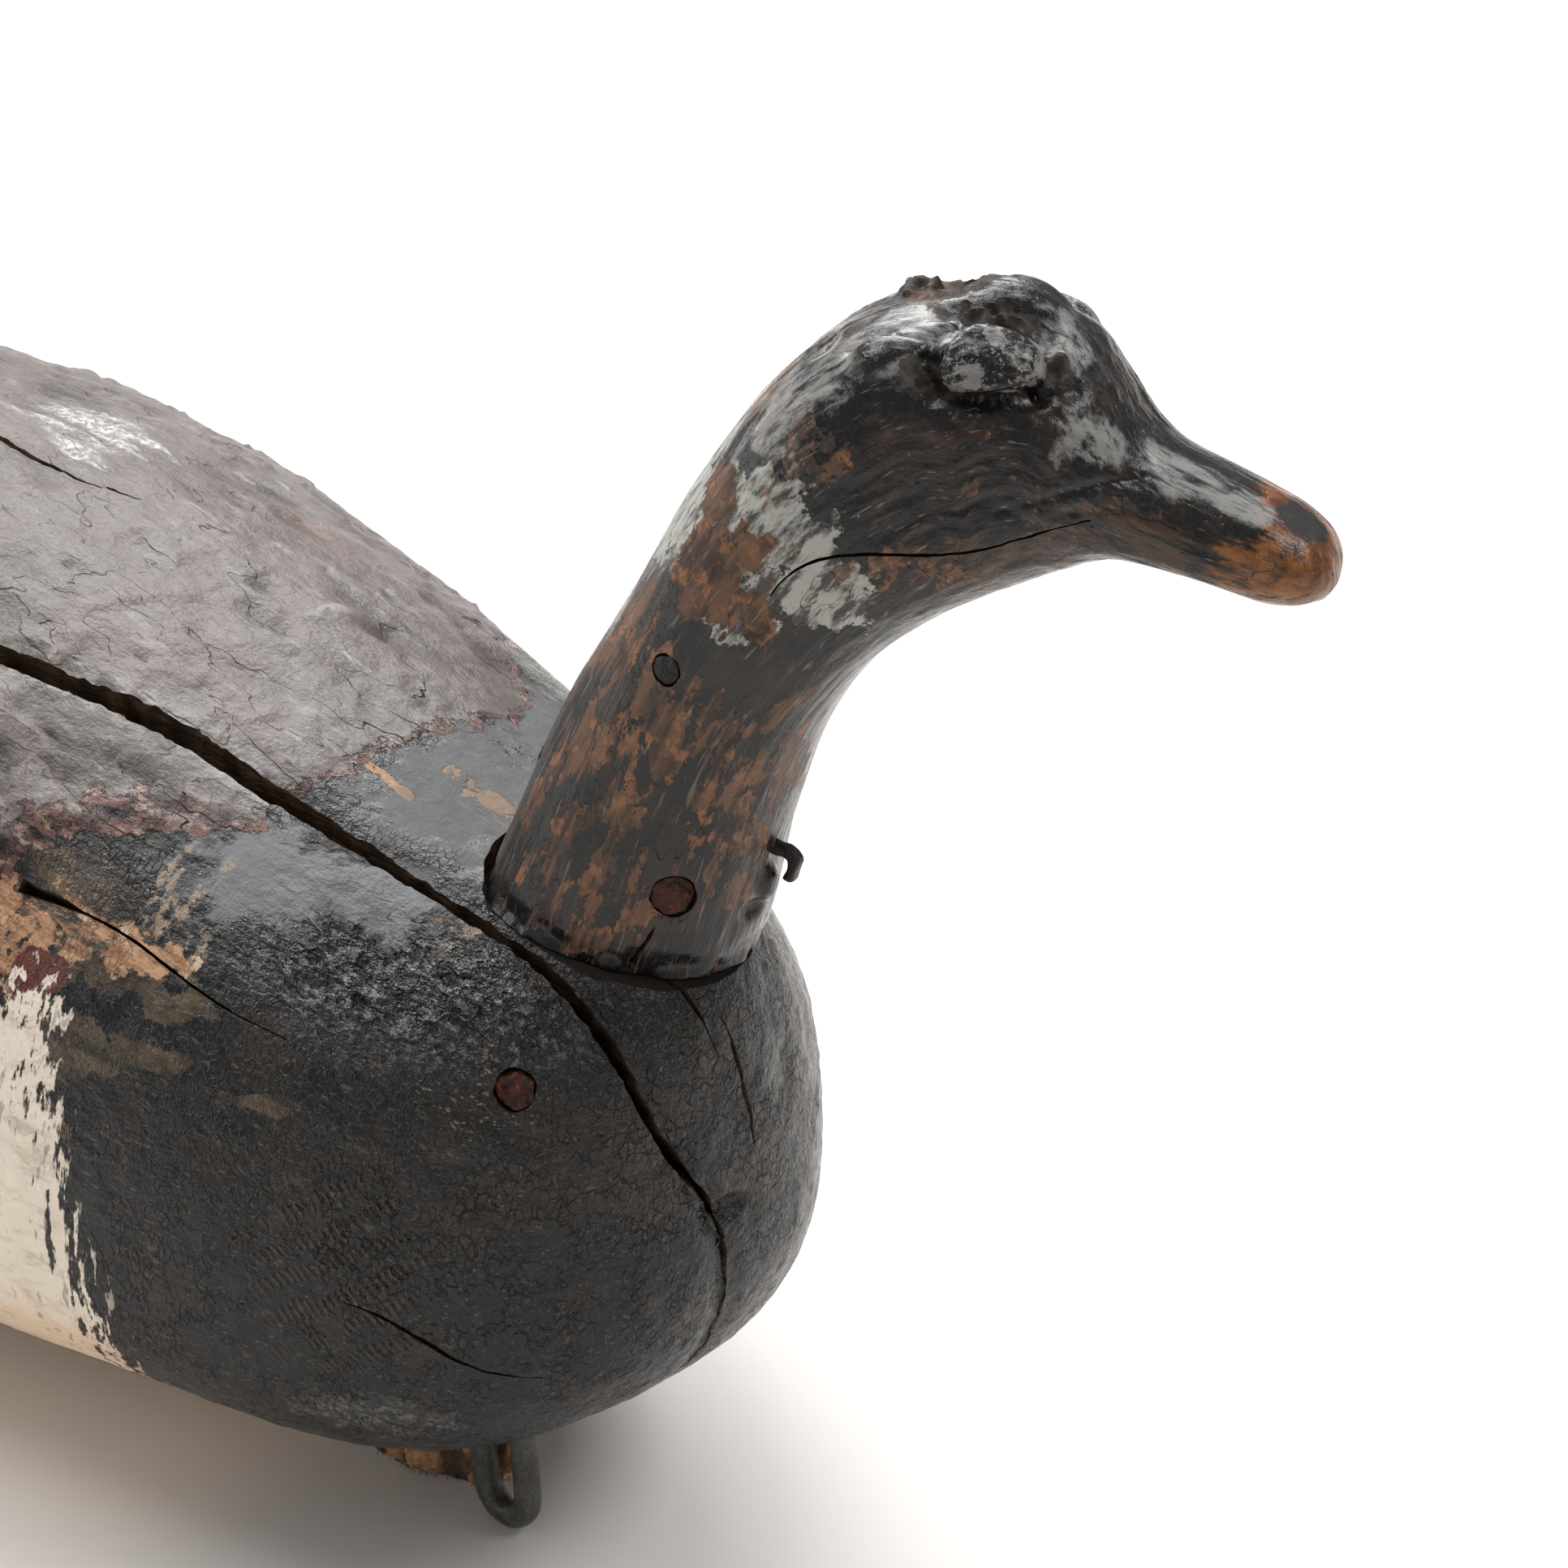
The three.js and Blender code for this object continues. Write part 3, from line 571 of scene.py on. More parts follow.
def bodyRelief(p, longPath):
    # how far the skin stands out in millimetres, and two masks that go with it
    x, y, z = np.moveaxis(p, -1, 0)
    wear = bodyWear
    greyCoat = bodyPaint(p)["greyCoat"]
    grey = smooth(greyCoat, -1, 3)
    facets = wear["facets"] * noise(p, (70, 40, 40), 3) + wear["fineFacets"] * noise(p, (24, 13, 13), 4, 2)
    lumps = wear["lumps"] * noise(p, (26, 8, 9), 9, 3) + wear["fineLumps"] * noise(p, (8, 2.6, 3), 12, 2)
    lumps = grey * (lumps + wear["coat"])
    ridged = 1 - np.abs(noise(p, (20, 6, 8), 15, 2))
    hollow = smooth(noise(p, (11, 3.5, 4), 17, 2), 0.5, 0.85)
    lumps += grey * (wear["ridges"] * smooth(ridged, 0.84, 1) - wear["hollows"] * hollow)
    flaked = smooth(greyCoat, 30, 4) * smooth(y, -24, -38) * grey
    lumps += flaked * wear["flakes"] * smooth(noise(p, (7, 5, 5), 19, 2), 0.0, 0.2)
    rasp = zone(x, y, wear["filedAt"], wear["filedSize"]) * smooth(z, 80, 94)
    filed = wear["filed"] * noise(p, (6, 2, 2), 21, 2) + wear["fineFiled"] * noise(p, (2.2, 1.4, 1.4), 22)
    filed = filed * rasp
    saw = zone(x, z, wear["sawnAt"], wear["sawnSize"]) * (y < 0)
    strokes = np.sin(2 * np.pi * (z * 0.8 - x * 0.45) / wear["sawPitch"] + noise(p, 5, 25))
    sawn = saw * wear["sawn"] * strokes
    pitted = (1 - grey) * wear["pits"] * noise(p, (3.2, 2.2, 2.2), 31, 2)
    gouged = sum(g["lift"] * (1 - smooth(np.linalg.norm((p - g["at"]) / g["size"], axis=-1), 0.35, 1.1))
                 for g in bodyGouges)
    away, share, side = nearLine(p, longPath)
    lip = np.where(side > 0, 1.0, 0.45) * smooth(share, 0.05, 0.3)
    rounded = -wear["lipRounding"] * lip * (1 - smooth(away, 0.5, 4.5))
    worn = -wear["lipWear"] * (side > 0) * np.exp(-((share - 0.66) / 0.07) ** 2) * (1 - smooth(away, 1, 7))
    planed = smooth(z, 1, 9)
    relief = (facets + lumps + filed + sawn + pitted + gouged + rounded + worn) * planed
    rim = np.exp(-(away / 3.2) ** 2) * smooth(share, 0.0, 0.1)
    return relief, {"rasped": rasp, "checkRim": rim}


def buildBody():
    grid, tail, breast = bodyGrid()
    cutters, paths = zip(*(checkCutter(name, plan, 40 + 5 * k, bodySnap, np.asarray)
                           for k, (name, plan) in enumerate(bodyChecks.items())))
    longPath = paths[list(bodyChecks).index("longCheck")][::6]
    relief, others = bodyRelief(grid, longPath)
    lifted = grid + gridNormals(grid) * relief[..., None]
    mesh = gridMesh("bodyCarved", lifted, tail, breast)
    co = np.zeros(len(mesh.vertices) * 3)
    mesh.vertices.foreach_get("co", co)
    co = co.reshape(-1, 3)
    co[:, 2] = np.maximum(co[:, 2], 0)
    mesh.vertices.foreach_set("co", co.ravel())
    flat = np.vstack([grid.reshape(-1, 3), tail, breast])
    for name, values in ({"relief": relief} | others).items():
        storeField(mesh, name, withPoles(values))
    for name, values in bodyPaint(flat).items():
        storeField(mesh, name, values)
    for name, patches in paintPatches.items():
        storeField(mesh, name, patchField(flat, patches))
    return addObject(mesh), list(cutters)


# Head and neck, cut from one root. Its own frame starts in the middle of the neck's base and runs
# forward, to its left and up
headPlan = {
    "height": 107, "billRound": 5, "billEnd": 10,
    "setback": 26.4, "offset": 6.2, "sink": 3.4, "yaw": 28, "roll": -2,
    "stations": (0, 0.12, 0.26, 0.4, 0.52, 0.62, 0.72, 0.8, 0.87, 0.94, 1),
    "backForward": (-0.215, -0.14, -0.061, 0.037, 0.136, 0.262, 0.486, 0.701, 0.808, 0.925, 1.065),
    "backUp": (0.028, 0.187, 0.355, 0.523, 0.673, 0.85, 0.995, 0.963, 0.832, 0.766, 0.701),
    "frontForward": (0.196, 0.243, 0.28, 0.336, 0.421, 0.505, 0.607, 0.71, 0.794, 0.916, 1.019),
    "frontUp": (-0.065, 0.093, 0.215, 0.336, 0.453, 0.523, 0.579, 0.617, 0.636, 0.612, 0.589),
    "half": (0.192, 0.187, 0.182, 0.187, 0.196, 0.201, 0.192, 0.159, 0.121, 0.112, 0.093),
    "fullness": (2.1, 2.1, 2.1, 2.1, 2.3, 2.6, 2.9, 2.7, 2.4, 2.3, 2.3),
    "rows": 372, "around": 232, "seenSide": 205, "crowding": 0.3,
}
# Main carving of both sides: middle and half sizes forward, sideways and up, how far it stands out,
# and the shares of the half sizes between which it dies away
headCarving = (
    {"at": (68.5, 6.4, 106.5), "size": (10.7, 3.7, 4.3), "lift": -1.3, "edge": (0.3, 1.25)},
    {"at": (67.4, 15, 101.7), "size": (15, 9.6, 9.6), "lift": -1.7, "edge": (0.3, 1.25)},
    {"at": (67.4, 14.2, 102), "size": (9.6, 8.6, 5.7), "lift": 3.5, "edge": (0.62, 1.05)},
    {"at": (51, 15.5, 101.7), "size": (7.5, 4.3, 3.7), "lift": 1.5, "edge": (0.3, 1.25)},
    {"at": (58.3, 17.7, 99.5), "size": (3.2, 4.3, 4.3), "lift": -1.4, "edge": (0.3, 1.25)},
)
crownKnot = (
    {"at": (50.3, 3.2, 108), "size": (6.4, 5.3, 4.3), "lift": 1.6, "edge": (0.3, 1.25)},
    {"at": (55.5, 3.2, 108), "size": (3.6, 4.3, 4.3), "lift": -0.9, "edge": (0.3, 1.25)},
    {"at": (66, 2.5, 107), "size": (10, 7, 7), "lift": 1.3, "edge": (0.2, 1.2)},
    {"at": (76, 3, 102), "size": (8, 8, 7), "lift": 0.6, "edge": (0.2, 1.2)},
)
leftShift, leftShare = np.array((0, 1.5, -3.4)), 0.6  # the left eye sits lower and is flatter
eyeBoss = {"at": (67.4, -14.2, 102), "size": (9.6, 8.6, 5.7),
           "dome": 1.2, "groove": 0.9, "grooveWidth": 0.09}
headKeys = ("backForward", "backUp", "frontForward", "frontUp", "half", "fullness")
headCurves = {k: cubicThrough(headPlan["stations"], headPlan[k]) for k in headKeys}


def bump(p, feature, side=1):
    away = np.linalg.norm((p * [1, side, 1] - feature["at"]) / feature["size"], axis=-1)
    return feature["lift"] * (1 - smooth(away, *feature.get("edge", (0.35, 1.1))))


def headPoint(t, angle):
    # the carved skin at a station t from the seat (0) to the bill's end (1)
    backF, backZ, frontF, frontZ, half, fullness = (headCurves[k](t) for k in headKeys)
    power = 2 / fullness
    across, up = signedPower(np.cos(angle), power), signedPower(np.sin(angle), power)
    height = headPlan["height"]
    middle = np.stack([(backF + frontF) / 2, 0 * half, (backZ + frontZ) / 2], -1) * height
    local = np.stack([(backF - frontF) / 2 * up, half * across, (backZ - frontZ) / 2 * up], -1) * height
    p = middle + local
    lift = sum(bump(p, f, -1) for f in headCarving)
    lift = lift + leftShare * sum(bump(p - leftShift, f) for f in headCarving)
    lift = lift + sum(bump(p, f) for f in crownKnot)
    return p + unit(local) * lift[..., None]


seatX = bodyPlan["length"] - headPlan["setback"]


def backHeight(x, y):
    start = np.array([x, y, bodySection(np.array(float(x)))[0]])
    return float(alongRay(start, np.array([0, 0, bodyPlan["height"]]))[2])


def headToBody(p):
    yaw, roll = math.radians(headPlan["yaw"]), math.radians(headPlan["roll"])
    place = Matrix.Rotation(yaw, 3, "Z") @ Matrix.Rotation(roll, 3, "X")
    seat = (seatX, headPlan["offset"], backHeight(seatX, headPlan["offset"]) - headPlan["sink"])
    return np.asarray(p, float) @ np.array(place).T + seat


def headGrid():
    plan = headPlan
    fine = np.linspace(0, 1, 1600)
    lines = np.stack([headPoint(fine, a + 0 * fine) for a in np.radians((90, 180, 270))])
    steps = arcSteps(np.moveaxis(lines, 0, 1)).max(-1)
    run = runningSum(steps * (0.75 + 0.5 * smooth(fine[1:], 0.4, 0.7)))
    stations = np.interp(np.linspace(0, run[-1], plan["rows"]), run, fine)
    angle = fullTurn(900)
    density = 1 + plan["crowding"] * np.cos(angle - math.radians(plan["seenSide"]))
    rings = [evenRing(headPoint(t + 0 * angle, angle), plan["around"], density) for t in stations]
    last = rings[-1]
    middle = last.mean(0)
    quarter = plan["around"] // 4
    ahead = np.cross(last[quarter] - middle, last[0] - middle)
    ahead *= np.sign(ahead[0]) / np.linalg.norm(ahead)
    beyond = plan["billRound"] * np.sin(np.radians(np.linspace(0, 90, 16)[1:-1]))
    rings = np.array(rings + [last + ahead * step for step in beyond])
    run = np.concatenate([run[-1] * np.linspace(0, 1, plan["rows"]), run[-1] + beyond])
    left = ((middle + ahead * plan["billRound"] - rings.mean(1)) @ ahead).clip(0, plan["billEnd"])
    squeeze = np.sqrt(1 - (1 - left / plan["billEnd"]) ** 2)[:, None, None]
    centre = rings.mean(1, keepdims=True)
    rings = centre + (rings - centre) * squeeze
    return rings, run, middle + ahead * plan["billRound"]


# Smaller marks on the head and neck: one-sided, in the head's frame
headMarks = (
    {"at": (61, -7.6, 107.6), "size": (8, 3.4, 3), "lift": -1.2},
    {"at": (68, 0, 108), "size": (12, 9, 6), "lift": 1.3},
    {"at": (73, -5.4, 104.6), "size": (4, 4, 3), "lift": -1.0},
    {"at": (58, -17.8, 99.8), "size": (2.8, 3, 2.2), "lift": -1.2},
    {"at": (36, -6, 99.6), "size": (9, 5, 3), "lift": -0.7},
    {"at": (25, -3.8, 7.6), "size": (2.2, 3, 4.2), "lift": 1.5},
    {"at": (24, -7, 3.6), "size": (3, 4, 2.4), "lift": -1.3},
    {"at": (14, -18.4, 9.8), "size": (4.5, 4, 4), "lift": -0.8},
    {"at": (53, -8, 60), "size": (1.2, 1.6, 1.2), "lift": 1.3},
    {"at": (111, -2, 76.6), "size": (5.4, 4.6, 3.4), "lift": -0.35},
    {"at": (-17, 8, 12), "size": (4, 6, 5), "lift": -0.9},
)
headLines = (
    {"through": ((58.5, -18.6, 98.1), (64, -18.4, 96.9), (71, -16.4, 96.6), (79, -10.5, 97.4)),
     "width": 1.5, "lift": -1.0},
    {"through": ((60.5, -14, 105.5), (57.6, -16.4, 102.2), (59.5, -18, 98.6)), "width": 1.3, "lift": -0.9},
    {"through": ((75.5, -9, 102), (76.6, -11, 99.4), (74.5, -14, 97.4)), "width": 1.2, "lift": -0.8},
    {"through": ((69, -18.7, 80), (81.7, -14.3, 83.5), (90, -8.5, 84)), "width": 0.7, "lift": -0.45},
    {"through": ((62, -19, 77), (78, -15.4, 79.4), (88, -12.6, 79.6)), "width": 0.6, "lift": -0.3},
    {"through": ((44, -13, 101), (52, -11, 104.5), (58, -8.5, 106)), "width": 0.8, "lift": -0.5},
    {"through": ((40, -14, 96.6), (48, -15, 99.4), (56, -16.4, 100)), "width": 0.8, "lift": -0.5},
)
headPatches = {
    "patchWhite": (
        {"at": (31, -19, 73), "size": (13, 10, 11)}, {"at": (20, -14, 72), "size": (7, 10, 9)},
        {"at": (41, -20, 66), "size": (8, 8, 8)}, {"at": (27, -18, 60), "size": (7, 8, 5)},
        {"at": (22, 15, 71), "size": (10, 9, 9)}, {"at": (13, -2, 66), "size": (6, 9, 6)},
    ),
    "patchBare": (
        {"at": (23, -18, 66), "size": (7, 7, 9)}, {"at": (24, -15, 77), "size": (4.5, 6, 5)},
        {"at": (31, -20, 60), "size": (2.5, 4, 5)}, {"at": (30, -19, 70), "size": (4, 5, 5)},
        {"at": (24, 17, 66), "size": (4, 5, 6)},
    ),
    "tipWear": (
        {"at": (114, -8, 70.5), "size": (9.5, 9, 7)}, {"at": (107, -9.5, 71), "size": (7, 6, 4.4)},
        {"at": (112, 6, 72), "size": (7, 6, 5)}, {"at": (106.5, 2, 78.5), "size": (2.4, 8, 3)},
    ),
    "billWear": (
        {"at": (99, -11, 71.5), "size": (13, 7, 4)}, {"at": (84, -14, 76), "size": (12, 7, 3.4)},
        {"at": (100, 11, 71), "size": (12, 7, 4)}, {"at": (72, -17, 72), "size": (14, 8, 3.4)},
    ),
    "tipSpot": (
        {"at": (111.5, -1.6, 76.4), "size": (5.6, 4.4, 3.6)}, {"at": (118, -2, 73), "size": (2.5, 3, 3)},
    ),
    "rawKnot": (
        {"at": (53.5, 3, 108), "size": (8.5, 6, 5)}, {"at": (67, -6.2, 106.4), "size": (10, 3.2, 3)},
        {"at": (76.4, -9.5, 101), "size": (2, 3, 3)}, {"at": (57.5, -17.5, 99.5), "size": (5, 3, 3.4)},
    ),
    "eyeGloss": (
        {"at": (67.4, -14, 102.6), "size": (9, 7, 5.4)}, {"at": (67.4, 14, 102.6), "size": (9, 7, 5.4)},
    ),
    "neckWear": (
        {"at": (-3, -16, 24), "size": (7, 7, 22)}, {"at": (6, -18, 38), "size": (9, 8, 18)},
        {"at": (24, -14, 18), "size": (5, 6, 9)}, {"at": (31, -11, 34), "size": (5, 7, 12)},
        {"at": (0, -11, 48), "size": (7, 8, 18)}, {"at": (21, -18, 38), "size": (8, 6, 7)},
        {"at": (20, -18, 27), "size": (5, 6, 5)}, {"at": (2, -20, 13), "size": (9, 7, 10)},
        {"at": (36, -19, 86), "size": (8, 7, 6)}, {"at": (50, -19, 70), "size": (15, 8, 3.4)},
        {"at": (27, -6, 92), "size": (6, 8, 5)}, {"at": (-2, 17, 40), "size": (10, 9, 30)},
    ),
    # painted highlights: a pale sheen on the bill's ridge and on the crown, brow and face
    "headSheen": (
        {"at": (96, -5.4, 83.6), "size": (14, 4, 3.6)}, {"at": (105, -6, 79.6), "size": (7, 3.4, 3)},
        {"at": (82, -11.5, 90), "size": (9, 5, 3.4)},
        {"at": (39, -13, 97.5), "size": (9, 6, 7)}, {"at": (32, -16, 90), "size": (5, 5, 6)},
        {"at": (55, -9, 106), "size": (11, 6, 3)}, {"at": (75, -6, 102.5), "size": (6, 6, 4)},
        {"at": (54, -17, 100), "size": (4, 4, 2.4)}, {"at": (60, 14, 104), "size": (12, 6, 4)},
    ),
    "cheekWear": (
        {"at": (56, -20, 87), "size": (16, 7, 7)}, {"at": (64, -18, 67), "size": (12, 8, 5)},
        {"at": (30, -20, 50), "size": (8, 7, 7)}, {"at": (12, -20, 6), "size": (16, 6, 6)},
        {"at": (60, 19, 84), "size": (16, 7, 8)},
    ),
}


# Heights of wear on the head in millimetres
headWear = {"facets": 0.42, "fineFacets": 0.16, "streaks": 0.15, "grooves": 0.45, "torn": 1.15,
            "eyeGrain": 0.07, "eyePits": 0.25, "seatEdge": 0.45, "seatRagged": 0.5}


def headRelief(p, run):
    # how far the skin stands out, and the grain's own coordinates: along, across and deep
    wear = headWear
    along = run[:, None] + 0 * p[..., 0]
    centre = p.mean(1, keepdims=True)
    up = unit(p[:, p.shape[1] // 4][:, None] - centre)
    grain = np.stack([along, p[..., 1], ((p - centre) * up).sum(-1)], -1)
    onHead = smooth(p[..., 2], 66, 84) * (1 - smooth(p[..., 0], 84, 96))
    facets = wear["facets"] * noise(p, (19, 13, 17), 51)
    facets = facets + wear["fineFacets"] * noise(grain, (16, 4, 4), 53, 2)
    streaks = wear["streaks"] * noise(grain, (13, 1.3, 1.6), 56, 2) * (0.5 + 0.7 * onHead)
    crown = smooth(p[..., 2], 92, 102) * (1 - smooth(p[..., 0], 60, 72))
    grooves = -wear["grooves"] * crown * smooth(1 - np.abs(noise(grain, (30, 2.2, 3), 58)), 0.86, 1)
    marks = sum(bump(p, mark) for mark in headMarks)
    for line in headLines:
        away, _, _ = nearLine(p, throughPoints(line["through"], 14))
        marks = marks + line["lift"] * np.exp(-(away / line["width"]) ** 2)
    raw = smooth(patchField(p, headPatches["rawKnot"]), -0.25, 0.35)
    torn = raw * (wear["torn"] * noise(p, (2.3, 1.7, 1.7), 61, 3) - 0.1)
    eye = smooth(patchField(p, headPatches["eyeGloss"]), -0.1, 0.5)
    pits = smooth(noise(p, (3.4, 2, 2.4), 66), 0.35, 0.8)
    pocked = eye * (wear["eyeGrain"] * noise(p, 1.6, 64, 2) - wear["eyePits"] * pits)
    for way, shift, share in ((1, 0, 1), (-1, leftShift, leftShare)):
        away = np.linalg.norm(((p - shift) * [1, way, 1] - eyeBoss["at"]) / eyeBoss["size"], axis=-1)
        away = away + 0.05 * noise(p, (4, 4, 3), 67, 2)
        marks = marks + share * eyeBoss["dome"] * (1 - smooth(away, 0.1, 0.96))
        marks = marks - share * eyeBoss["groove"] * np.exp(-((away - 1.06) / eyeBoss["grooveWidth"]) ** 2)
    ragged = wear["seatRagged"] * noise(p, (4, 4, 3), 68, 2) - wear["seatEdge"]
    rim = ragged * np.exp(-((along - 1.2) / 2.2) ** 2)
    return facets + streaks + grooves + marks + torn + pocked + rim, grain


def ringFrame():
    # the seat's outline, its middle and the way the neck leaves it
    ring = headPoint(np.zeros(120), fullTurn(120))
    middle = (ring[0] + ring[60]) / 2
    up = np.cross(ring[0] - middle, ring[30] - middle)
    return ring, middle, up * np.sign(up[2]) / np.linalg.norm(up)


# The neck's seat: ledge is how much wider it is in front than the neck, back how much behind, and
# each step is a level and the slack that widens the hole there. Millimetres
seatPlan = {"ledge": 3.8, "back": 0.5, "ragged": 0.5,
            "steps": ((-0.3, 0), (1.5, 0.25), (4, 0.8), (headPlan["height"] / 3, 1.5))}


def seatCutter():
    plan = seatPlan
    ring, middle, up = ringFrame()
    out = ring - middle
    length = np.linalg.norm(out, axis=-1, keepdims=True)
    rings = []
    front = smooth(ring[:, 0] - 0.6 * ring[:, 1], -16, 12)[:, None]
    for level, slack in plan["steps"]:
        wider = plan["back"] + (plan["ledge"] - plan["back"]) * front + slack
        wider = wider + plan["ragged"] * noise(ring + level, (5, 5, 5), 71, 2)[:, None]
        rings.append(headToBody(middle + out / length * (length + wider) + up * level))
    return addObject(loftMesh("seatCutter", rings))


headChecks = {
    "mouthCheck": {"through": ((33.5, -21.4, 64), (36.5, -21.4, 67.5), (41.7, -21.4, 70.8),
                               (53, -20.8, 72.5), (65, -18.7, 73.4), (76, -16.3, 76.6), (82, -14, 78)),
                   "width": (0.2, 0.55, 0.6, 0.5, 0.25), "depth": (0.8, 2.4, 2.6, 2.2, 0.8), "ragged": 0.1},
    "baseCheck": {"through": ((7.3, -19.2, -2), (9.1, -18.9, 0.6), (11.4, -18.5, 4.6)),
                  "width": (0.9, 0.7, 0.4), "depth": (2.5, 2.5, 1.5), "ragged": 0.12},
    "tipCheck": {"through": ((119.6, -4.6, 70), (119.9, -4.4, 67.5), (118.2, -4.4, 64.6)),
                 "width": (0.2, 0.4, 0.3), "depth": (0.6, 1.2, 0.8), "ragged": 0.06},
    "leftCheck": {"through": ((6, 20, 30), (10, 20.4, 44), (15, 20.6, 58)),
                  "width": (0.3, 0.7, 0.3), "depth": (1, 2.5, 1), "ragged": 0.12},
}


def headSpot(t, degrees):
    # a place on the head's skin and the way out of the wood there, in the body's frame
    angle = math.radians(degrees)

    def beside(dt, turn):
        return headPoint(np.array(t + dt), np.array(angle + turn))
    spot = beside(0, 0)
    out = unit(np.cross(beside(0, 0.05) - beside(0, -0.05), beside(0.01, 0) - beside(-0.01, 0)))
    out *= np.sign(out @ (spot - beside(0, math.pi)))
    return headToBody(spot), headToBody(spot + out) - headToBody(spot)


# Nails: head width, then the station and the angle round the neck where each is driven
nailPlan = {"thickness": 1.5, "shank": 3.2, "length": 13, "proud": 0.5}
neckNails = {
    "neckNailLow": {"node": "neck_nail_low", "head": 7.2, "spot": (0.1, 208), "dents": 0.4, "seed": 3,
                    "sunk": 0.5, "painted": 0.2},
    "neckNailHigh": {"node": "neck_nail_high", "head": 5.0, "spot": (0.4, 164), "dents": 0.2, "seed": 8,
                     "sunk": 0.2, "painted": 0.95},
    "neckNailBack": {"node": "neck_nail_back", "head": 4.4, "spot": (0.16, 97), "dents": 0.2, "seed": 12,
                     "painted": 0.9},
}
breastNail = {"node": "breast_nail", "head": 6.6, "share": (0.966, -0.32, 0.625), "dents": 0.6, "seed": 20,
              "sunk": 0.2, "painted": 0.0}
# The bent one is a square cut nail; its path is in shares of its reach, ahead and down
bentNail = {
    "node": "neck_nail_bent", "spot": (0.15, 262), "size": 3.0, "reach": 3.5, "painted": 0.6,
    "hook": ((-0.5, 0), (0, 0), (0.5, -0.02), (0.84, 0.1), (0.97, 0.42), (0.95, 0.8), (0.88, 1.2)),
    "width": (0.8, 0.8, 0.9, 1.08), "thickness": (0.8, 0.75, 0.7), "squareness": 0.62,
}


def turnedTo(out):
    return np.array(Vector(out).to_track_quat("Z", "Y").to_matrix())


def nailHole(name, at, out, width, seed):
    # chipped hole round a nail's head
    rim = unitCircle(36)
    rings = []
    for level, grow in ((-nailPlan["thickness"] - 0.5, 0.1), (0.2, 0.14), (2.4, 0.5)):
        radius = width / 2 + grow + 0.2 * noise(rim * 3 + seed, (1.3, 1.3, 1), seed, 2)
        rings.append(rim * radius[:, None] + [0, 0, level])
    return addObject(loftMesh(name, at + np.array(rings) @ turnedTo(out).T))


def buildHead():
    grid, run, tip = headGrid()
    relief, grain = headRelief(grid, run)
    normals = gridNormals(grid)
    lifted = grid + normals * relief[..., None]
    skin, ways = lifted.reshape(-1, 3), normals.reshape(-1, 3)

    def headSnap(points):
        nearest = [int(((skin - p) ** 2).sum(-1).argmin()) for p in points]
        out = ways[nearest]
        return points + out * ((skin[nearest] - points) * out).sum(-1, keepdims=True), out
    cutters = [checkCutter(name, plan | {"spacing": 0.6, "flare": 1.2}, 90 + 5 * k, headSnap, headToBody)[0]
               for k, (name, plan) in enumerate(headChecks.items())]
    for name, nail in neckNails.items():
        at, out = headSpot(*nail["spot"])
        cutters.append(nailHole(name + "Hole", at, out, nail["head"], nail["seed"]))
    base = grid[0].mean(0)
    mesh = gridMesh("headCarved", headToBody(lifted), headToBody(base), headToBody(tip))
    flat = np.vstack([grid.reshape(-1, 3), base, tip])
    for k, name in enumerate(("grainAlong", "grainAcross", "grainDeep")):
        storeField(mesh, name, withPoles(grain[..., k]))
    for name, patches in headPatches.items():
        storeField(mesh, name, patchField(flat, patches))
    return addObject(mesh), cutters


def breastSpot():
    length, width, height = bodyPlan["length"], bodyPlan["width"], bodyPlan["height"]
    x, y, z = breastNail["share"]
    at, out = bodySnap(np.array([[x * length, y * width / 2, z * height]]))
    return at[0], out[0]


def buildNail(name, nail, at, out):
    plan = nailPlan
    radius, shank, thick = nail["head"] / 2, plan["shank"] / 2, plan["thickness"]
    turn = np.radians(np.linspace(-80, 84, 9))
    edge = np.stack([radius + 0.3 * thick * (np.cos(turn) - 1), thick * (0.42 * np.sin(turn) - 0.5)], -1)
    share = np.linspace(0.97, 0.04, 16)
    top = np.stack([edge[-1, 0] * share, edge[-1, 1] + thick * 0.2 * (1 - share ** 2)], -1)
    point = [(shank * 0.3, -plan["length"]), (shank * 0.6, -plan["length"] + 0.8),
             (shank, -plan["length"] + 2.6 * shank)]
    neck = [(shank, level) for level in np.linspace(-plan["length"] + 4.6 * shank, -thick, 8)]
    profile = np.vstack([point, neck, edge, top])
    grid = unitCircle(72) * profile[:, None, :1] + [0, 0, 1] * profile[:, None, 1:]
    onHead = smooth(grid[..., 2:], -thick * 1.2, -thick * 0.8)
    way = gridNormals(grid)
    dents = noise(grid, (1.5, 1.5, 1.2), nail["seed"], 3)
    dents = dents + 0.5 * noise(grid, (3.4, 3.4, 3), nail["seed"] + 3)
    grid = grid + way * onHead * (nail["dents"] * (dents[..., None] - 0.5) - 0.05)
    grid[..., 2] = np.minimum(grid[..., 2], 0.2)
    placed = at + out * (plan["proud"] - nail.get("sunk", 0)) + grid @ turnedTo(out).T
    mesh = loftMesh(name, placed)
    storeField(mesh, "painted", np.full(len(mesh.vertices), nail["painted"]))
    return addObject(mesh)


def tubeGrid(path, wide, thick, side, around=28, power=1.0):
    # squared tube along a path; side is roughly the way its width lies
    along = unit(np.gradient(path, axis=0))
    up = unit(np.cross(along, side))
    across = np.cross(up, along)
    a, b, _ = signedPower(unitCircle(around), power).T[..., None]
    share = np.linspace(0, 1, len(path))
    wide, thick = (spread(v, share)[:, None, None] / 2 for v in (wide, thick))
    return path[:, None] + across[:, None] * a * wide + up[:, None] * b * thick


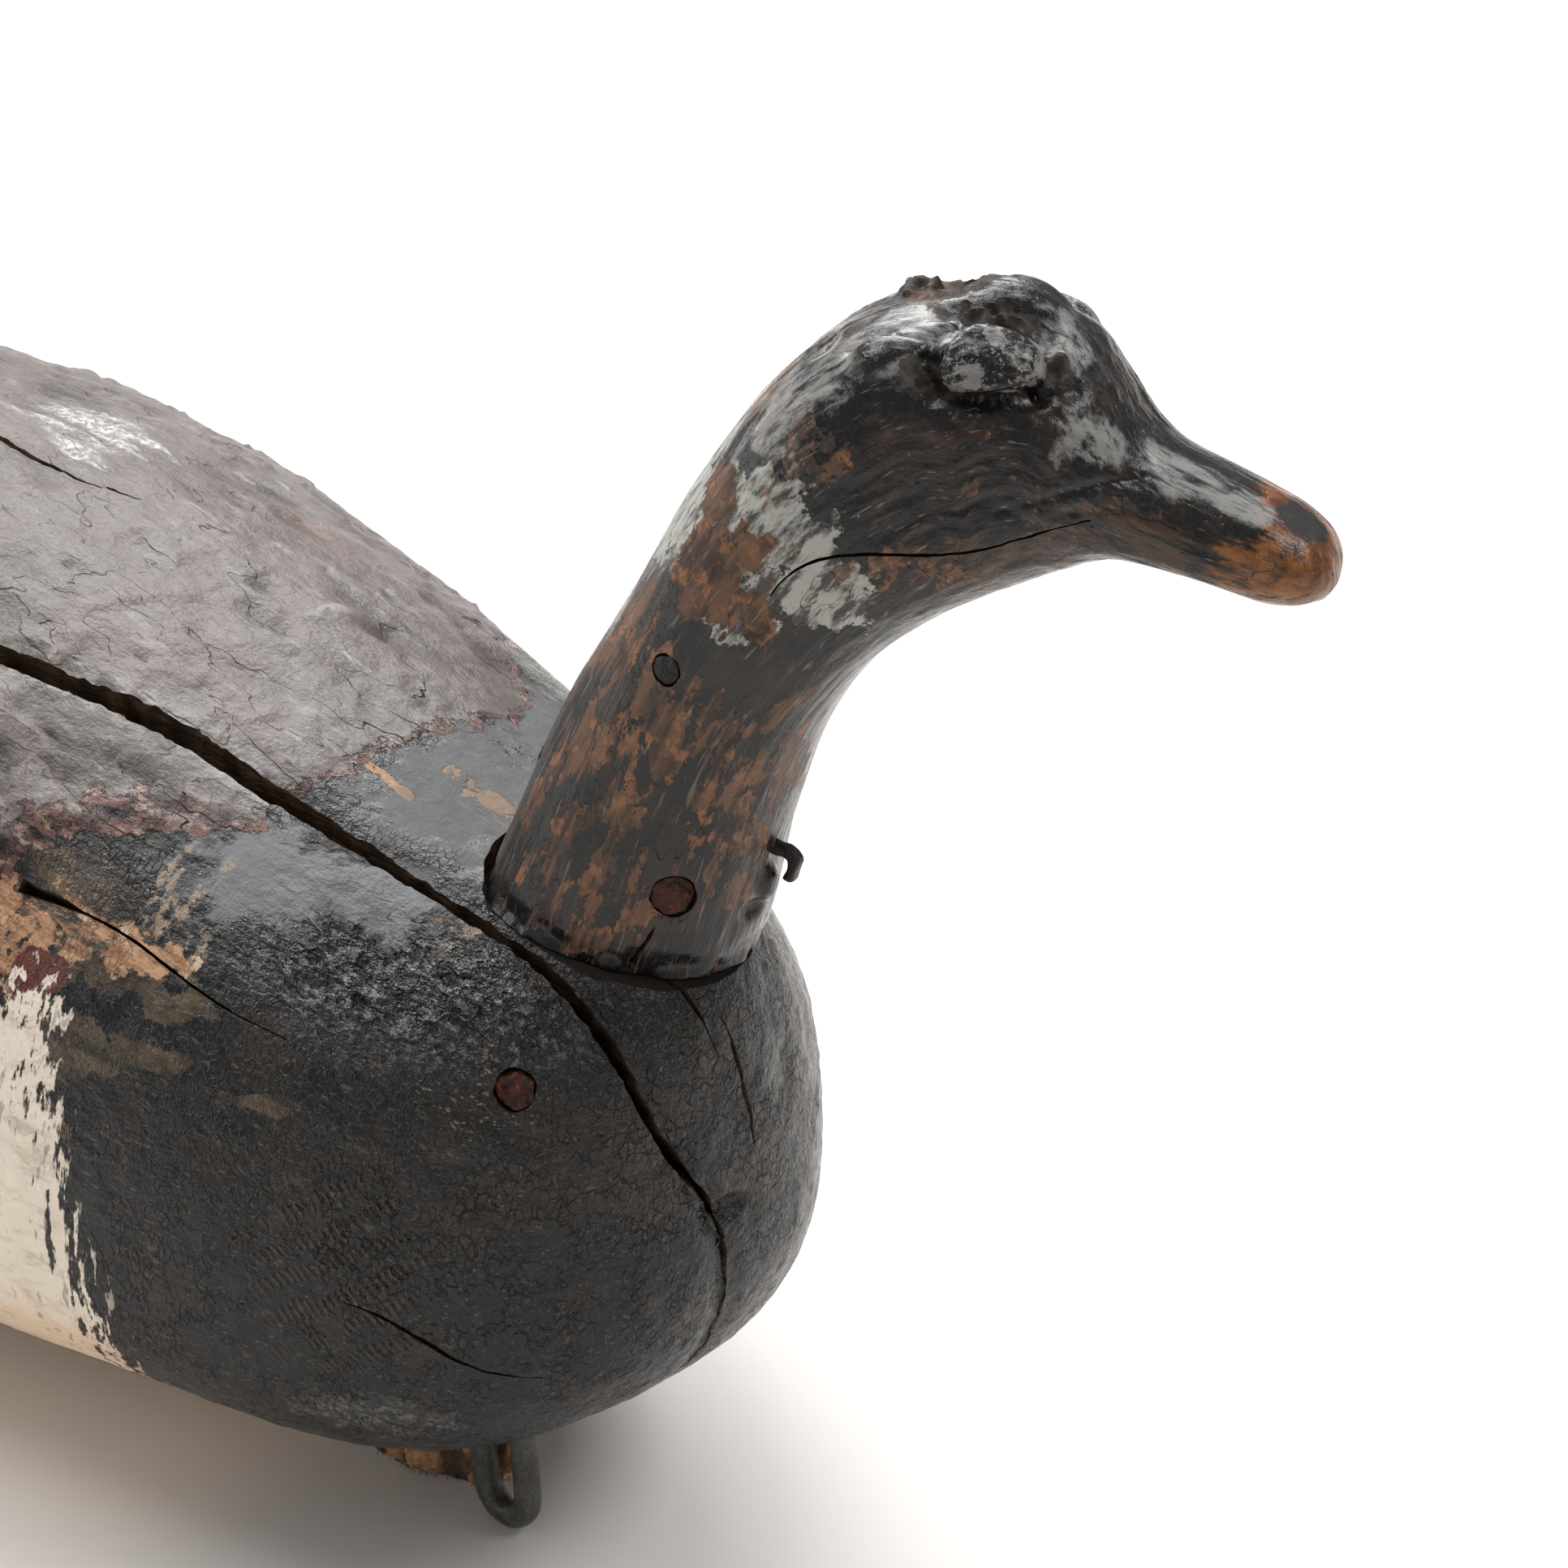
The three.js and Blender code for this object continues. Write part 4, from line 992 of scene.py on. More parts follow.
def buildBentNail():
    # stands out of the front of the neck and is hammered down
    plan = bentNail
    at, out = headSpot(*plan["spot"])
    down = unit(np.array([0, 0, -1]) + out * out[2])
    size, reach = plan["size"], plan["reach"]
    hook = ((-0.8 * nailPlan["length"] / reach, 0), *plan["hook"])
    path = throughPoints([at + (out * ahead + down * below) * reach for ahead, below in hook], 70)
    grid = tubeGrid(path, size * np.array(plan["width"]), size * np.array(plan["thickness"]),
                    np.cross(out, down), 32, plan["squareness"])
    grid = grid + gridNormals(grid) * (0.16 * noise(grid, (1.6, 1.6, 1.6), 31, 2) - 0.08)[..., None]
    mesh = loftMesh("neckNailBent", grid)
    storeField(mesh, "painted", np.full(len(mesh.vertices), plan["painted"]))
    return addObject(mesh)


# Nodes: joined or set by the names of their sockets
def plug(value, socket):
    if isinstance(value, bpy.types.NodeSocket):
        socket.id_data.links.new(value, socket)
    elif socket.type == "RGBA":
        socket.default_value = (*value, 1)[:4]
    else:
        socket.default_value = value


def plugIn(node, inputs):
    # twoWords stands for the socket "Two Words"
    for key, value in inputs.items():
        label = "".join(" " + c if c.isupper() else c for c in key).lower()
        plug(value, next(s for s in node.inputs if s.name.lower() == label and s.enabled))


def addNode(tree, kind, settings=None, **inputs):
    node = tree.nodes.new(kind)
    for key, value in (settings or {}).items():
        setattr(node, key, value)
    plugIn(node, inputs)
    return node


def treeOf(values):
    # the tree that the sockets among some values belong to
    return next(v.id_data for v in values if isinstance(v, bpy.types.NodeSocket))


def mathOf(kind, *values, clamp=False):
    node = addNode(treeOf(values), "ShaderNodeMath", {"operation": kind, "use_clamp": clamp})
    for socket, value in zip(node.inputs, values):
        plug(value, socket)
    return node.outputs[0]


def times(first, second):
    return mathOf("MULTIPLY", first, second)


# Geometry trees for the wire and the leather's fibres
def newTree(name, inputs):
    tree = bpy.data.node_groups.new(name, "GeometryNodeTree")
    for way in ("INPUT", "OUTPUT"):
        tree.interface.new_socket("Geometry", in_out=way, socket_type="NodeSocketGeometry")
    for label, (kind, value) in inputs.items():
        socket = tree.interface.new_socket(label, in_out="INPUT", socket_type="NodeSocket" + kind)
        if value is not None:
            socket.default_value = value
    return tree, addNode(tree, "NodeGroupInput").outputs


def endTree(tree, geometry, material):
    real = addNode(tree, "GeometryNodeRealizeInstances", geometry=geometry)
    dressed = addNode(tree, "GeometryNodeSetMaterial", geometry=real.outputs[0], material=material)
    plug(dressed.outputs[0], addNode(tree, "NodeGroupOutput").inputs[0])
    return tree


def wireTree():
    tree, given = newTree("sweptWire", {
        "Radius": ("Float", 0.002), "Dents": ("Float", 0.0001), "Dent Size": ("Float", 400.0),
        "Seed": ("Float", 3.0), "Material": ("Material", None)})
    curve = addNode(tree, "GeometryNodeMeshToCurve", mesh=given["Geometry"])
    outline = addNode(tree, "GeometryNodeCurvePrimitiveCircle", resolution=32, radius=given["Radius"])
    swept = addNode(tree, "GeometryNodeCurveToMesh", curve=curve.outputs[0],
                    profileCurve=outline.outputs[0], fillCaps=True)
    dent = addNode(tree, "ShaderNodeTexNoise", {"noise_dimensions": "4D"}, w=given["Seed"],
                   scale=given["Dent Size"])
    height = times(mathOf("SUBTRACT", dent.outputs[0], 0.5), given["Dents"])
    push = addNode(tree, "ShaderNodeVectorMath", {"operation": "SCALE"}, scale=height,
                   vector=addNode(tree, "GeometryNodeInputNormal").outputs[0])
    moved = addNode(tree, "GeometryNodeSetPosition", geometry=swept.outputs[0], offset=push.outputs[0])
    shaded = addNode(tree, "GeometryNodeSetShadeSmooth", geometry=moved.outputs[0])
    return endTree(tree, shaded.outputs[0], given["Material"])


def fibreTree():
    tree, given = newTree("leatherFibres", {
        "Fibres": ("Float", 400.0), "Length": ("Float", 0.002), "Thickness": ("Float", 0.00008),
        "Seed": ("Int", 5), "Material": ("Material", None)})
    roots = addNode(tree, "GeometryNodeDistributePointsOnFaces", {"distribute_method": "RANDOM"},
                    mesh=given["Geometry"], density=given["Fibres"], seed=given["Seed"])
    thread = addNode(tree, "GeometryNodeCurveQuadraticBezier", resolution=6, start=(0, 0, -0.2),
                     middle=(0.25, 0, 0.5), end=(0.1, 0.3, 1.0))
    thin = mathOf("DIVIDE", given["Thickness"], given["Length"])
    profile = addNode(tree, "GeometryNodeCurvePrimitiveCircle", resolution=5, radius=thin)
    fibre = addNode(tree, "GeometryNodeCurveToMesh", curve=thread.outputs[0],
                    profileCurve=profile.outputs[0], fillCaps=True)
    size, twist = (addNode(tree, "FunctionNodeRandomValue", {"data_type": kind}, min=low, max=high,
                           seed=given["Seed"])
                   for kind, low, high in (("FLOAT", 0.3, 1.0),
                                           ("FLOAT_VECTOR", (-1.0, -1.0, 0), (1.0, 1.0, 2 * math.pi))))
    size, twist = (next(s for s in node.outputs if s.enabled) for node in (size, twist))
    turn = addNode(tree, "FunctionNodeRotateEuler", {"space": "LOCAL"}, rotateBy=twist,
                   rotation=roots.outputs["Rotation"])
    placed = addNode(tree, "GeometryNodeInstanceOnPoints", points=roots.outputs["Points"],
                     instance=fibre.outputs[0], rotation=turn.outputs[0],
                     scale=times(size, given["Length"]))
    both = addNode(tree, "GeometryNodeJoinGeometry")
    for source in (given["Geometry"], placed.outputs[0]):
        plug(source, both.inputs[0])
    return endTree(tree, both.outputs[0], given["Material"])


def grow(piece, tree, values):
    # runs a tree on a piece and keeps its result as the piece's own mesh
    modifier = piece.modifiers.new(tree.name, "NODES")
    modifier.node_group = tree
    for item in tree.interface.items_tree:
        if item.item_type == "SOCKET" and item.in_out == "INPUT" and item.name in values:
            modifier[item.identifier] = values[item.name]
    piece.update_tag()
    grown = bpy.data.meshes.new_from_object(piece.evaluated_get(bpy.context.evaluated_depsgraph_get()))
    piece.modifiers.remove(modifier)
    piece.data = grown


# Line tie: wire staple under the breast. Millimetres
staplePlan = {"setback": 48, "offset": -10, "span": 10.8, "drop": 21, "grip": 14, "wire": 4.7,
              "dents": 0.22, "dentSize": 2.4, "seed": 4.0}


def staplePath(count=90):
    plan = staplePlan
    radius = plan["span"] / 2
    leg = plan["grip"] + plan["drop"] - plan["wire"] / 2 - radius
    along = np.linspace(0, 2 * leg + math.pi * radius, count)
    turn = np.clip((along - leg) / radius, 0, math.pi)
    z = np.where(along < leg, plan["grip"] - along, plan["grip"] - leg - radius * np.sin(turn))
    z = np.where(along > leg + math.pi * radius, plan["grip"] - 2 * leg - math.pi * radius + along, z)
    x = bodyPlan["length"] - plan["setback"] - radius * np.cos(turn)
    return np.stack([x, plan["offset"] + 0 * x, z], -1)


def buildStaple(material):
    plan = staplePlan
    path = toRow(staplePath())
    mesh = bpy.data.meshes.new("lineTie")
    mesh.from_pydata([tuple(p) for p in path], [(k, k + 1) for k in range(len(path) - 1)], [])
    piece = addObject(mesh)
    grow(piece, wireTree(), {"Radius": plan["wire"] / 2000, "Dents": plan["dents"] / 1000,
                             "Dent Size": 1000 / plan["dentSize"], "Seed": plan["seed"],
                             "Material": material})
    return piece


# Torn flap of leather that hangs behind the staple's rear leg and round to its right. Millimetres:
# along is how far ahead of that leg and to its left the flap runs, drop how low it hangs there
scrapPlan = {"along": ((5.5, 5.4), (-0.6, 4.6), (-6, 1.5), (-13, -4), (-22, -10)),
             "drop": (10, 19, 22, 21.5, 18, 13),
             "thickness": 2.6, "gap": 0.3, "folds": 1.5, "ragged": 1.3,
             "fibres": 1.4e6, "fibreLength": 1.2, "fibreThickness": 0.07, "seed": 7}


def buildScrap(material):
    plan = scrapPlan
    rearLegX = bodyPlan["length"] - staplePlan["setback"] - staplePlan["span"] / 2
    line = throughPoints([(rearLegX + x, staplePlan["offset"] + y, 0) for x, y in plan["along"]], 120)
    way = np.gradient(line, axis=0)
    side = unit(np.stack([-way[:, 1], way[:, 0], 0 * way[:, 0]], -1))
    share = np.linspace(0, 1, len(line))[:, None]
    angle = fullTurn(96)[None]
    across, up = signedPower(np.cos(angle), 0.8), signedPower(np.sin(angle), 0.45)
    drop = spread(plan["drop"], share)
    spot = np.stack([share * 30 + 0 * up, up * 5 + 0 * share, 0 * up * share], -1)
    torn = noise(spot, 3.4, plan["seed"], 3)
    drop = np.maximum(drop + plan["ragged"] * torn * (up < 0), 0.8)
    ends = np.sqrt(1 - (1.99 * share - 0.995) ** 8)
    lean = 1.6 * np.sin(5.2 * share + 0.4) - 1.2 * (1 - up) * smooth(share, 0.05, 0.4)
    off = lean + across * plan["thickness"] / 2 * ends * (1 + 0.5 * smooth(up, -0.2, 1))
    grid = line[:, None] + side[:, None] * off[..., None]
    grid = grid + way[:, None] * (1.2 * torn * up)[..., None]
    grid[..., 2] = -plan["gap"] - drop * (1 - up) / 2
    fold = noise(grid, (4.2, 3.4, 4), plan["seed"] + 2, 3)
    pits = smooth(noise(grid, (4.6, 4, 5), plan["seed"] + 5), 0.2, 0.6)
    away = gridNormals(grid) * [0.7, 1, 0.6]
    puff = (plan["folds"] * (fold - 0.2) - pits) * smooth(ends, 0.2, 0.9)
    grid = grid + away * puff[..., None]
    # kept above the table by a fibre's length
    table = plan["fibreLength"] - rest["z"] - grid[..., 0] * math.sin(math.radians(rest["pitch"]))
    grid[..., 2] = np.clip(grid[..., 2], table, -plan["gap"])
    mesh = loftMesh("leatherScrap", grid)
    storeField(mesh, "pits", np.append(pits.ravel(), (0, 0)))
    piece = addObject(mesh)
    wide = (staplePlan["wire"] + 2 * plan["gap"],) * 2
    passage = loftMesh("staplePassage", tubeGrid(staplePath(60), wide, wide, np.array([[0.0, 1, 0]])))
    piece.data.materials.append(material)
    cutAway(piece, [addObject(passage)], material)
    grow(piece, fibreTree(), {"Fibres": plan["fibres"], "Length": plan["fibreLength"] / 1000,
                              "Thickness": plan["fibreThickness"] / 1000, "Seed": plan["seed"],
                              "Material": material})
    return piece


# Shader building blocks
def ramp(value, low, high, start=0.0, end=1.0):
    # smooth step of a value from low to high
    return addNode(value.id_data, "ShaderNodeMapRange", {"interpolation_type": "SMOOTHSTEP"}, value=value,
                   fromMin=low, fromMax=high, toMin=start, toMax=end).outputs[0]


def mixed(kind, settings, values):
    node = addNode(treeOf(values), "ShaderNodeMix", {"data_type": kind} | settings)
    for socket, value in zip([s for s in node.inputs if s.enabled], values):
        plug(value, socket)
    return next(s for s in node.outputs if s.enabled)


def mix(share, first, second, way="MIX"):
    # colours mixed by a share
    return mixed("RGBA", {"blend_type": way}, (share, first, second))


def blend(share, first, second):
    # plain values mixed by a share
    return mixed("FLOAT", {}, (share, first, second))


def grained(vector, size, detail=3.0, rough=0.55, twist=0.0):
    # noise of a size in metres, or of a scale that comes from a group's input
    scale = size if isinstance(size, bpy.types.NodeSocket) else 1 / size
    return addNode(vector.id_data, "ShaderNodeTexNoise", vector=vector, scale=scale, detail=detail,
                   roughness=rough, distortion=twist).outputs["Fac"]


def mapped(vector, **inputs):
    return addNode(vector.id_data, "ShaderNodeMapping", vector=vector, **inputs).outputs[0]


def stretched(vector, along):
    # coordinates drawn out along x, so a pattern runs that many times longer there
    return mapped(vector, scale=(1 / along, 1, 1))


def partsOf(vector):
    return addNode(vector.id_data, "ShaderNodeSeparateXYZ", vector=vector).outputs


def awayFrom(value, level):
    # how far a noise is from a level, so that a ramp of it draws lines
    return mathOf("ABSOLUTE", mathOf("SUBTRACT", value, level))


def without(mask):
    return mathOf("SUBTRACT", 1.0, mask)


def fieldOf(place, name):
    # a field stored on the mesh, in the tree of the given place
    return addNode(place.id_data, "ShaderNodeAttribute", {"attribute_name": name}).outputs["Fac"]


def newGroup(name, inputs, outputs):
    group = bpy.data.node_groups.new(name, "ShaderNodeTree")
    for label, value in inputs.items():
        kind = "Vector" if value is None else "Color" if isinstance(value, tuple) else "Float"
        socket = group.interface.new_socket(label, in_out="INPUT", socket_type="NodeSocket" + kind)
        if value is not None:
            socket.default_value = (*value, 1) if kind == "Color" else value
    for label, kind in outputs.items():
        group.interface.new_socket(label, in_out="OUTPUT", socket_type="NodeSocket" + kind)
    return group, addNode(group, "NodeGroupInput").outputs, addNode(group, "NodeGroupOutput").inputs


def useGroup(group, **inputs):
    return addNode(treeOf(inputs.values()), "ShaderNodeGroup", {"node_tree": group}, **inputs).outputs


def raggedGroup():
    # a field's zero line broken up by a noise; Reach is how far
    group, given, result = newGroup("raggedEdge", {
        "Noise": 0.5, "Field": 0.0, "Reach": 1.0, "Softness": 0.1}, {"Mask": "Float"})
    shift = mathOf("SUBTRACT", given["Noise"], 0.5)
    moved = mathOf("MULTIPLY_ADD", shift, given["Reach"], given["Field"])
    plug(ramp(moved, times(given["Softness"], -1.0), given["Softness"]), result["Mask"])
    return group


def woodGroup():
    # grain that runs along x of the vector
    group, given, result = newGroup("woodGrain", {
        "Vector": None, "Light": (0.42, 0.26, 0.17), "Dark": (0.2, 0.1, 0.055), "Grain": 700.0},
        {"Color": "Color", "Height": "Float"})
    fibre = grained(mapped(given["Vector"], scale=(0.09, 1, 1)), given["Grain"], 4.0, 0.65, 0.4)
    tone = ramp(fibre, 0.34, 0.68)
    plug(mix(tone, given["Dark"], given["Light"]), result["Color"])
    plug(fibre, result["Height"])
    return group


def paintGroup():
    # one old coat: stained by a broad noise, worn by a middle one, speckled and pitted by a fine one
    group, given, result = newGroup("oldPaint", {
        "Color": (0.03, 0.031, 0.033), "Stain": (0.06, 0.045, 0.035), "Worn": (0.07, 0.062, 0.055),
        "Broad": 0.5, "Middle": 0.5, "Fine": 0.5, "Gloss": 0.45, "Speckle": 0.3},
        {"Color": "Color", "Roughness": "Float", "Height": "Float"})
    stain = ramp(given["Broad"], 0.46, 0.66, 0.0, 0.75)
    worn = ramp(given["Middle"], 0.52, 0.72, 0.0, 0.7)
    colour = mix(worn, mix(stain, given["Color"], given["Stain"]), given["Worn"])
    shade = ramp(given["Fine"], 0.3, 0.7, without(given["Speckle"]), mathOf("ADD", 1.0, given["Speckle"]))
    shade = addNode(group, "ShaderNodeCombineColor", red=shade, green=shade, blue=shade).outputs[0]
    plug(mix(1.0, colour, shade, "MULTIPLY"), result["Color"])
    rough = mathOf("MULTIPLY_ADD", worn, 0.2, given["Gloss"])
    rough = mathOf("ADD", rough, ramp(given["Fine"], 0.35, 0.65, -0.06, 0.08))
    plug(rough, result["Roughness"])
    height = mathOf("MULTIPLY_ADD", given["Fine"], 0.12, times(given["Middle"], 0.9))
    plug(height, result["Height"])
    return group


def cracksGroup():
    # thin crooked lines between cells, broken where a broad noise is low
    group, given, result = newGroup("crackLines", {
        "Vector": None, "Cell": 300.0, "Width": 0.06, "Broad": 0.5, "Share": 0.5}, {"Mask": "Float"})
    wave = addNode(group, "ShaderNodeTexNoise", vector=given["Vector"], scale=given["Cell"], detail=2.0)
    wobble = addNode(group, "ShaderNodeVectorMath", {"operation": "SCALE"}, vector=wave.outputs["Color"],
                     scale=mathOf("DIVIDE", 0.9, given["Cell"]))
    bent = addNode(group, "ShaderNodeVectorMath", {"operation": "ADD"}, vector=given["Vector"])
    plug(wobble.outputs[0], bent.inputs[1])
    cells = addNode(group, "ShaderNodeTexVoronoi", {"feature": "DISTANCE_TO_EDGE"}, vector=bent.outputs[0],
                    scale=given["Cell"])
    line = ramp(cells.outputs["Distance"], given["Width"], 0.0)
    limit = mathOf("SUBTRACT", 0.76, times(given["Share"], 0.5))
    shown = ramp(given["Broad"], limit, mathOf("ADD", limit, 0.08))
    plug(times(line, shown), result["Mask"])
    return group


def scratchGroup():
    # short fine scratches that lie along the vector's x and z
    group, given, result = newGroup("scratches", {"Vector": None, "Size": 900.0, "Limit": 0.66},
                                    {"Mask": "Float"})
    masks = []
    for turn in ((0, 0.5, 0.3), (0.2, 2.0, -0.4)):
        tilted = mapped(given["Vector"], rotation=turn, scale=(0.07, 1, 1))
        lines = grained(tilted, given["Size"], 2.0, 0.5)
        masks.append(ramp(lines, given["Limit"], mathOf("ADD", given["Limit"], 0.07)))
    plug(mathOf("MAXIMUM", *masks), result["Mask"])
    return group


rustTones = {"dark": (0.016, 0.01, 0.008), "middle": (0.075, 0.019, 0.009), "bright": (0.24, 0.062, 0.02)}


def rustGroup():
    group, given, result = newGroup("rust", {"Vector": None, "Size": 900.0},
                                    {"Color": "Color", "Roughness": "Float", "Height": "Float"})
    coarse = grained(given["Vector"], given["Size"], 5.0, 0.68, 0.3)
    colour = mix(ramp(coarse, 0.38, 0.6), rustTones["dark"], rustTones["middle"])
    colour = mix(ramp(coarse, 0.56, 0.72), colour, rustTones["bright"])
    plug(colour, result["Color"])
    plug(ramp(coarse, 0.3, 0.7, 0.35, 0.8), result["Roughness"])
    plug(coarse, result["Height"])
    return group


ragged, woodGrain, oldPaint = raggedGroup(), woodGroup(), paintGroup()
crackLines, scratches, rust = cracksGroup(), scratchGroup(), rustGroup()


def newMaterial(name, **inputs):
    # a material, its shader with some inputs set, and the object's own coordinates
    material = bpy.data.materials.new(name)
    material.use_nodes = True
    shader = material.node_tree.nodes["Principled BSDF"]
    plugIn(shader, {"ior": 1.5} | inputs)
    return material, shader, material.node_tree.nodes.new("ShaderNodeTexCoord").outputs["Object"]


def layer(field, noise, reach, softness=0.06, most=None):
    # how much a coat or a bare patch covers, its edge broken up by a noise; with a most, the noise
    # leaves gaps in the middle too
    field = fieldOf(noise, field) if isinstance(field, str) else field
    field = field if most is None else mathOf("MINIMUM", field, most)
    return useGroup(ragged, noise=noise, field=field, reach=reach, softness=softness)["Mask"]


def dress(shader, colour, rough, *heights):
    # joins colour, roughness and stacked bumps, each (height, strength, distance in metres)
    below = {}
    for height, strength, distance in heights:
        bumps = addNode(shader.id_data, "ShaderNodeBump", height=height, strength=strength,
                        distance=distance, **below)
        below = {"normal": bumps.outputs[0]}
    plugIn(shader, {"baseColor": colour, "roughness": rough} | below)


openLook = {"light": (0.15, 0.088, 0.05), "dark": (0.04, 0.024, 0.015), "grimeAndShade": (0.012, 0.01, 0.009),
            "shine": 0.1}


def openWoodMaterial():
    # walls of checks, holes and the seat: old wood, grimy in places, with painted shade where it faces up
    look = openLook
    material, shader, place = newMaterial("openWood", specularIorLevel=look["shine"])
    wood = useGroup(woodGrain, vector=place, light=look["light"], dark=look["dark"], grain=900.0)
    upward = partsOf(addNode(place.id_data, "ShaderNodeNewGeometry").outputs["Normal"])[2]
    # dark grime in noisy patches, and painted shade on faces that turn up, which darkens the seat's ledge
    grimeAndShade = mathOf("MAXIMUM", ramp(grained(place, 0.006, 4.0), 0.38, 0.62, 0.0, 0.6),
                   ramp(upward, 0.35, 0.8, 0.0, 0.92))
    colour = mix(grimeAndShade, wood["Color"], look["grimeAndShade"])
    dress(shader, colour, ramp(grimeAndShade, 0, 1, 0.7, 0.9), (wood["Height"], 0.6, 0.0008))
    return material


openWood = openWoodMaterial()


bodyLook = {
    "black": (0.0088, 0.0095, 0.0105), "stain": (0.03, 0.022, 0.016), "worn": (0.026, 0.024, 0.022),
    # the glint and the two blue greys are painted highlights and painted sheen on the black paint
    "glint": (0.34, 0.34, 0.35), "groove": (0.004, 0.004, 0.004), "crack": (0.012, 0.011, 0.01),
    "sheenGrey": (0.092, 0.093, 0.095), "sheenHighlight": (0.15, 0.152, 0.157),
    "grey": (0.142, 0.121, 0.114), "greyStain": (0.15, 0.115, 0.107), "greyDark": (0.055, 0.042, 0.034),
    "greyPale": (0.3, 0.28, 0.27), "dust": (0.66, 0.65, 0.63), "scuff": (0.42, 0.41, 0.39),
    "red": (0.15, 0.073, 0.064), "redDark": (0.06, 0.035, 0.032), "darkRed": (0.12, 0.03, 0.022),
    "white": (0.84, 0.74, 0.62), "cream": (0.76, 0.58, 0.42), "brown": (0.11, 0.08, 0.05),
    "tan": (0.36, 0.27, 0.19), "dullTan": (0.2, 0.15, 0.11),
    "wood": (0.52, 0.31, 0.18), "woodDark": (0.27, 0.13, 0.065), "woodPale": (0.6, 0.46, 0.33),
    "blackGloss": 0.25, "greyGloss": 0.42, "raspRough": 0.2, "coatRough": 0.66, "woodRough": 0.72,
    "flankRough": 0.68, "tailRough": 0.4, "shine": 0.31,
}
# Saw marks on the breast: slant in degrees, then run and wander of the rows and of the teeth in them
sawMarks = {"slant": 38, "rows": (0.0052, 9.0), "teeth": (0.0013, 20.0)}


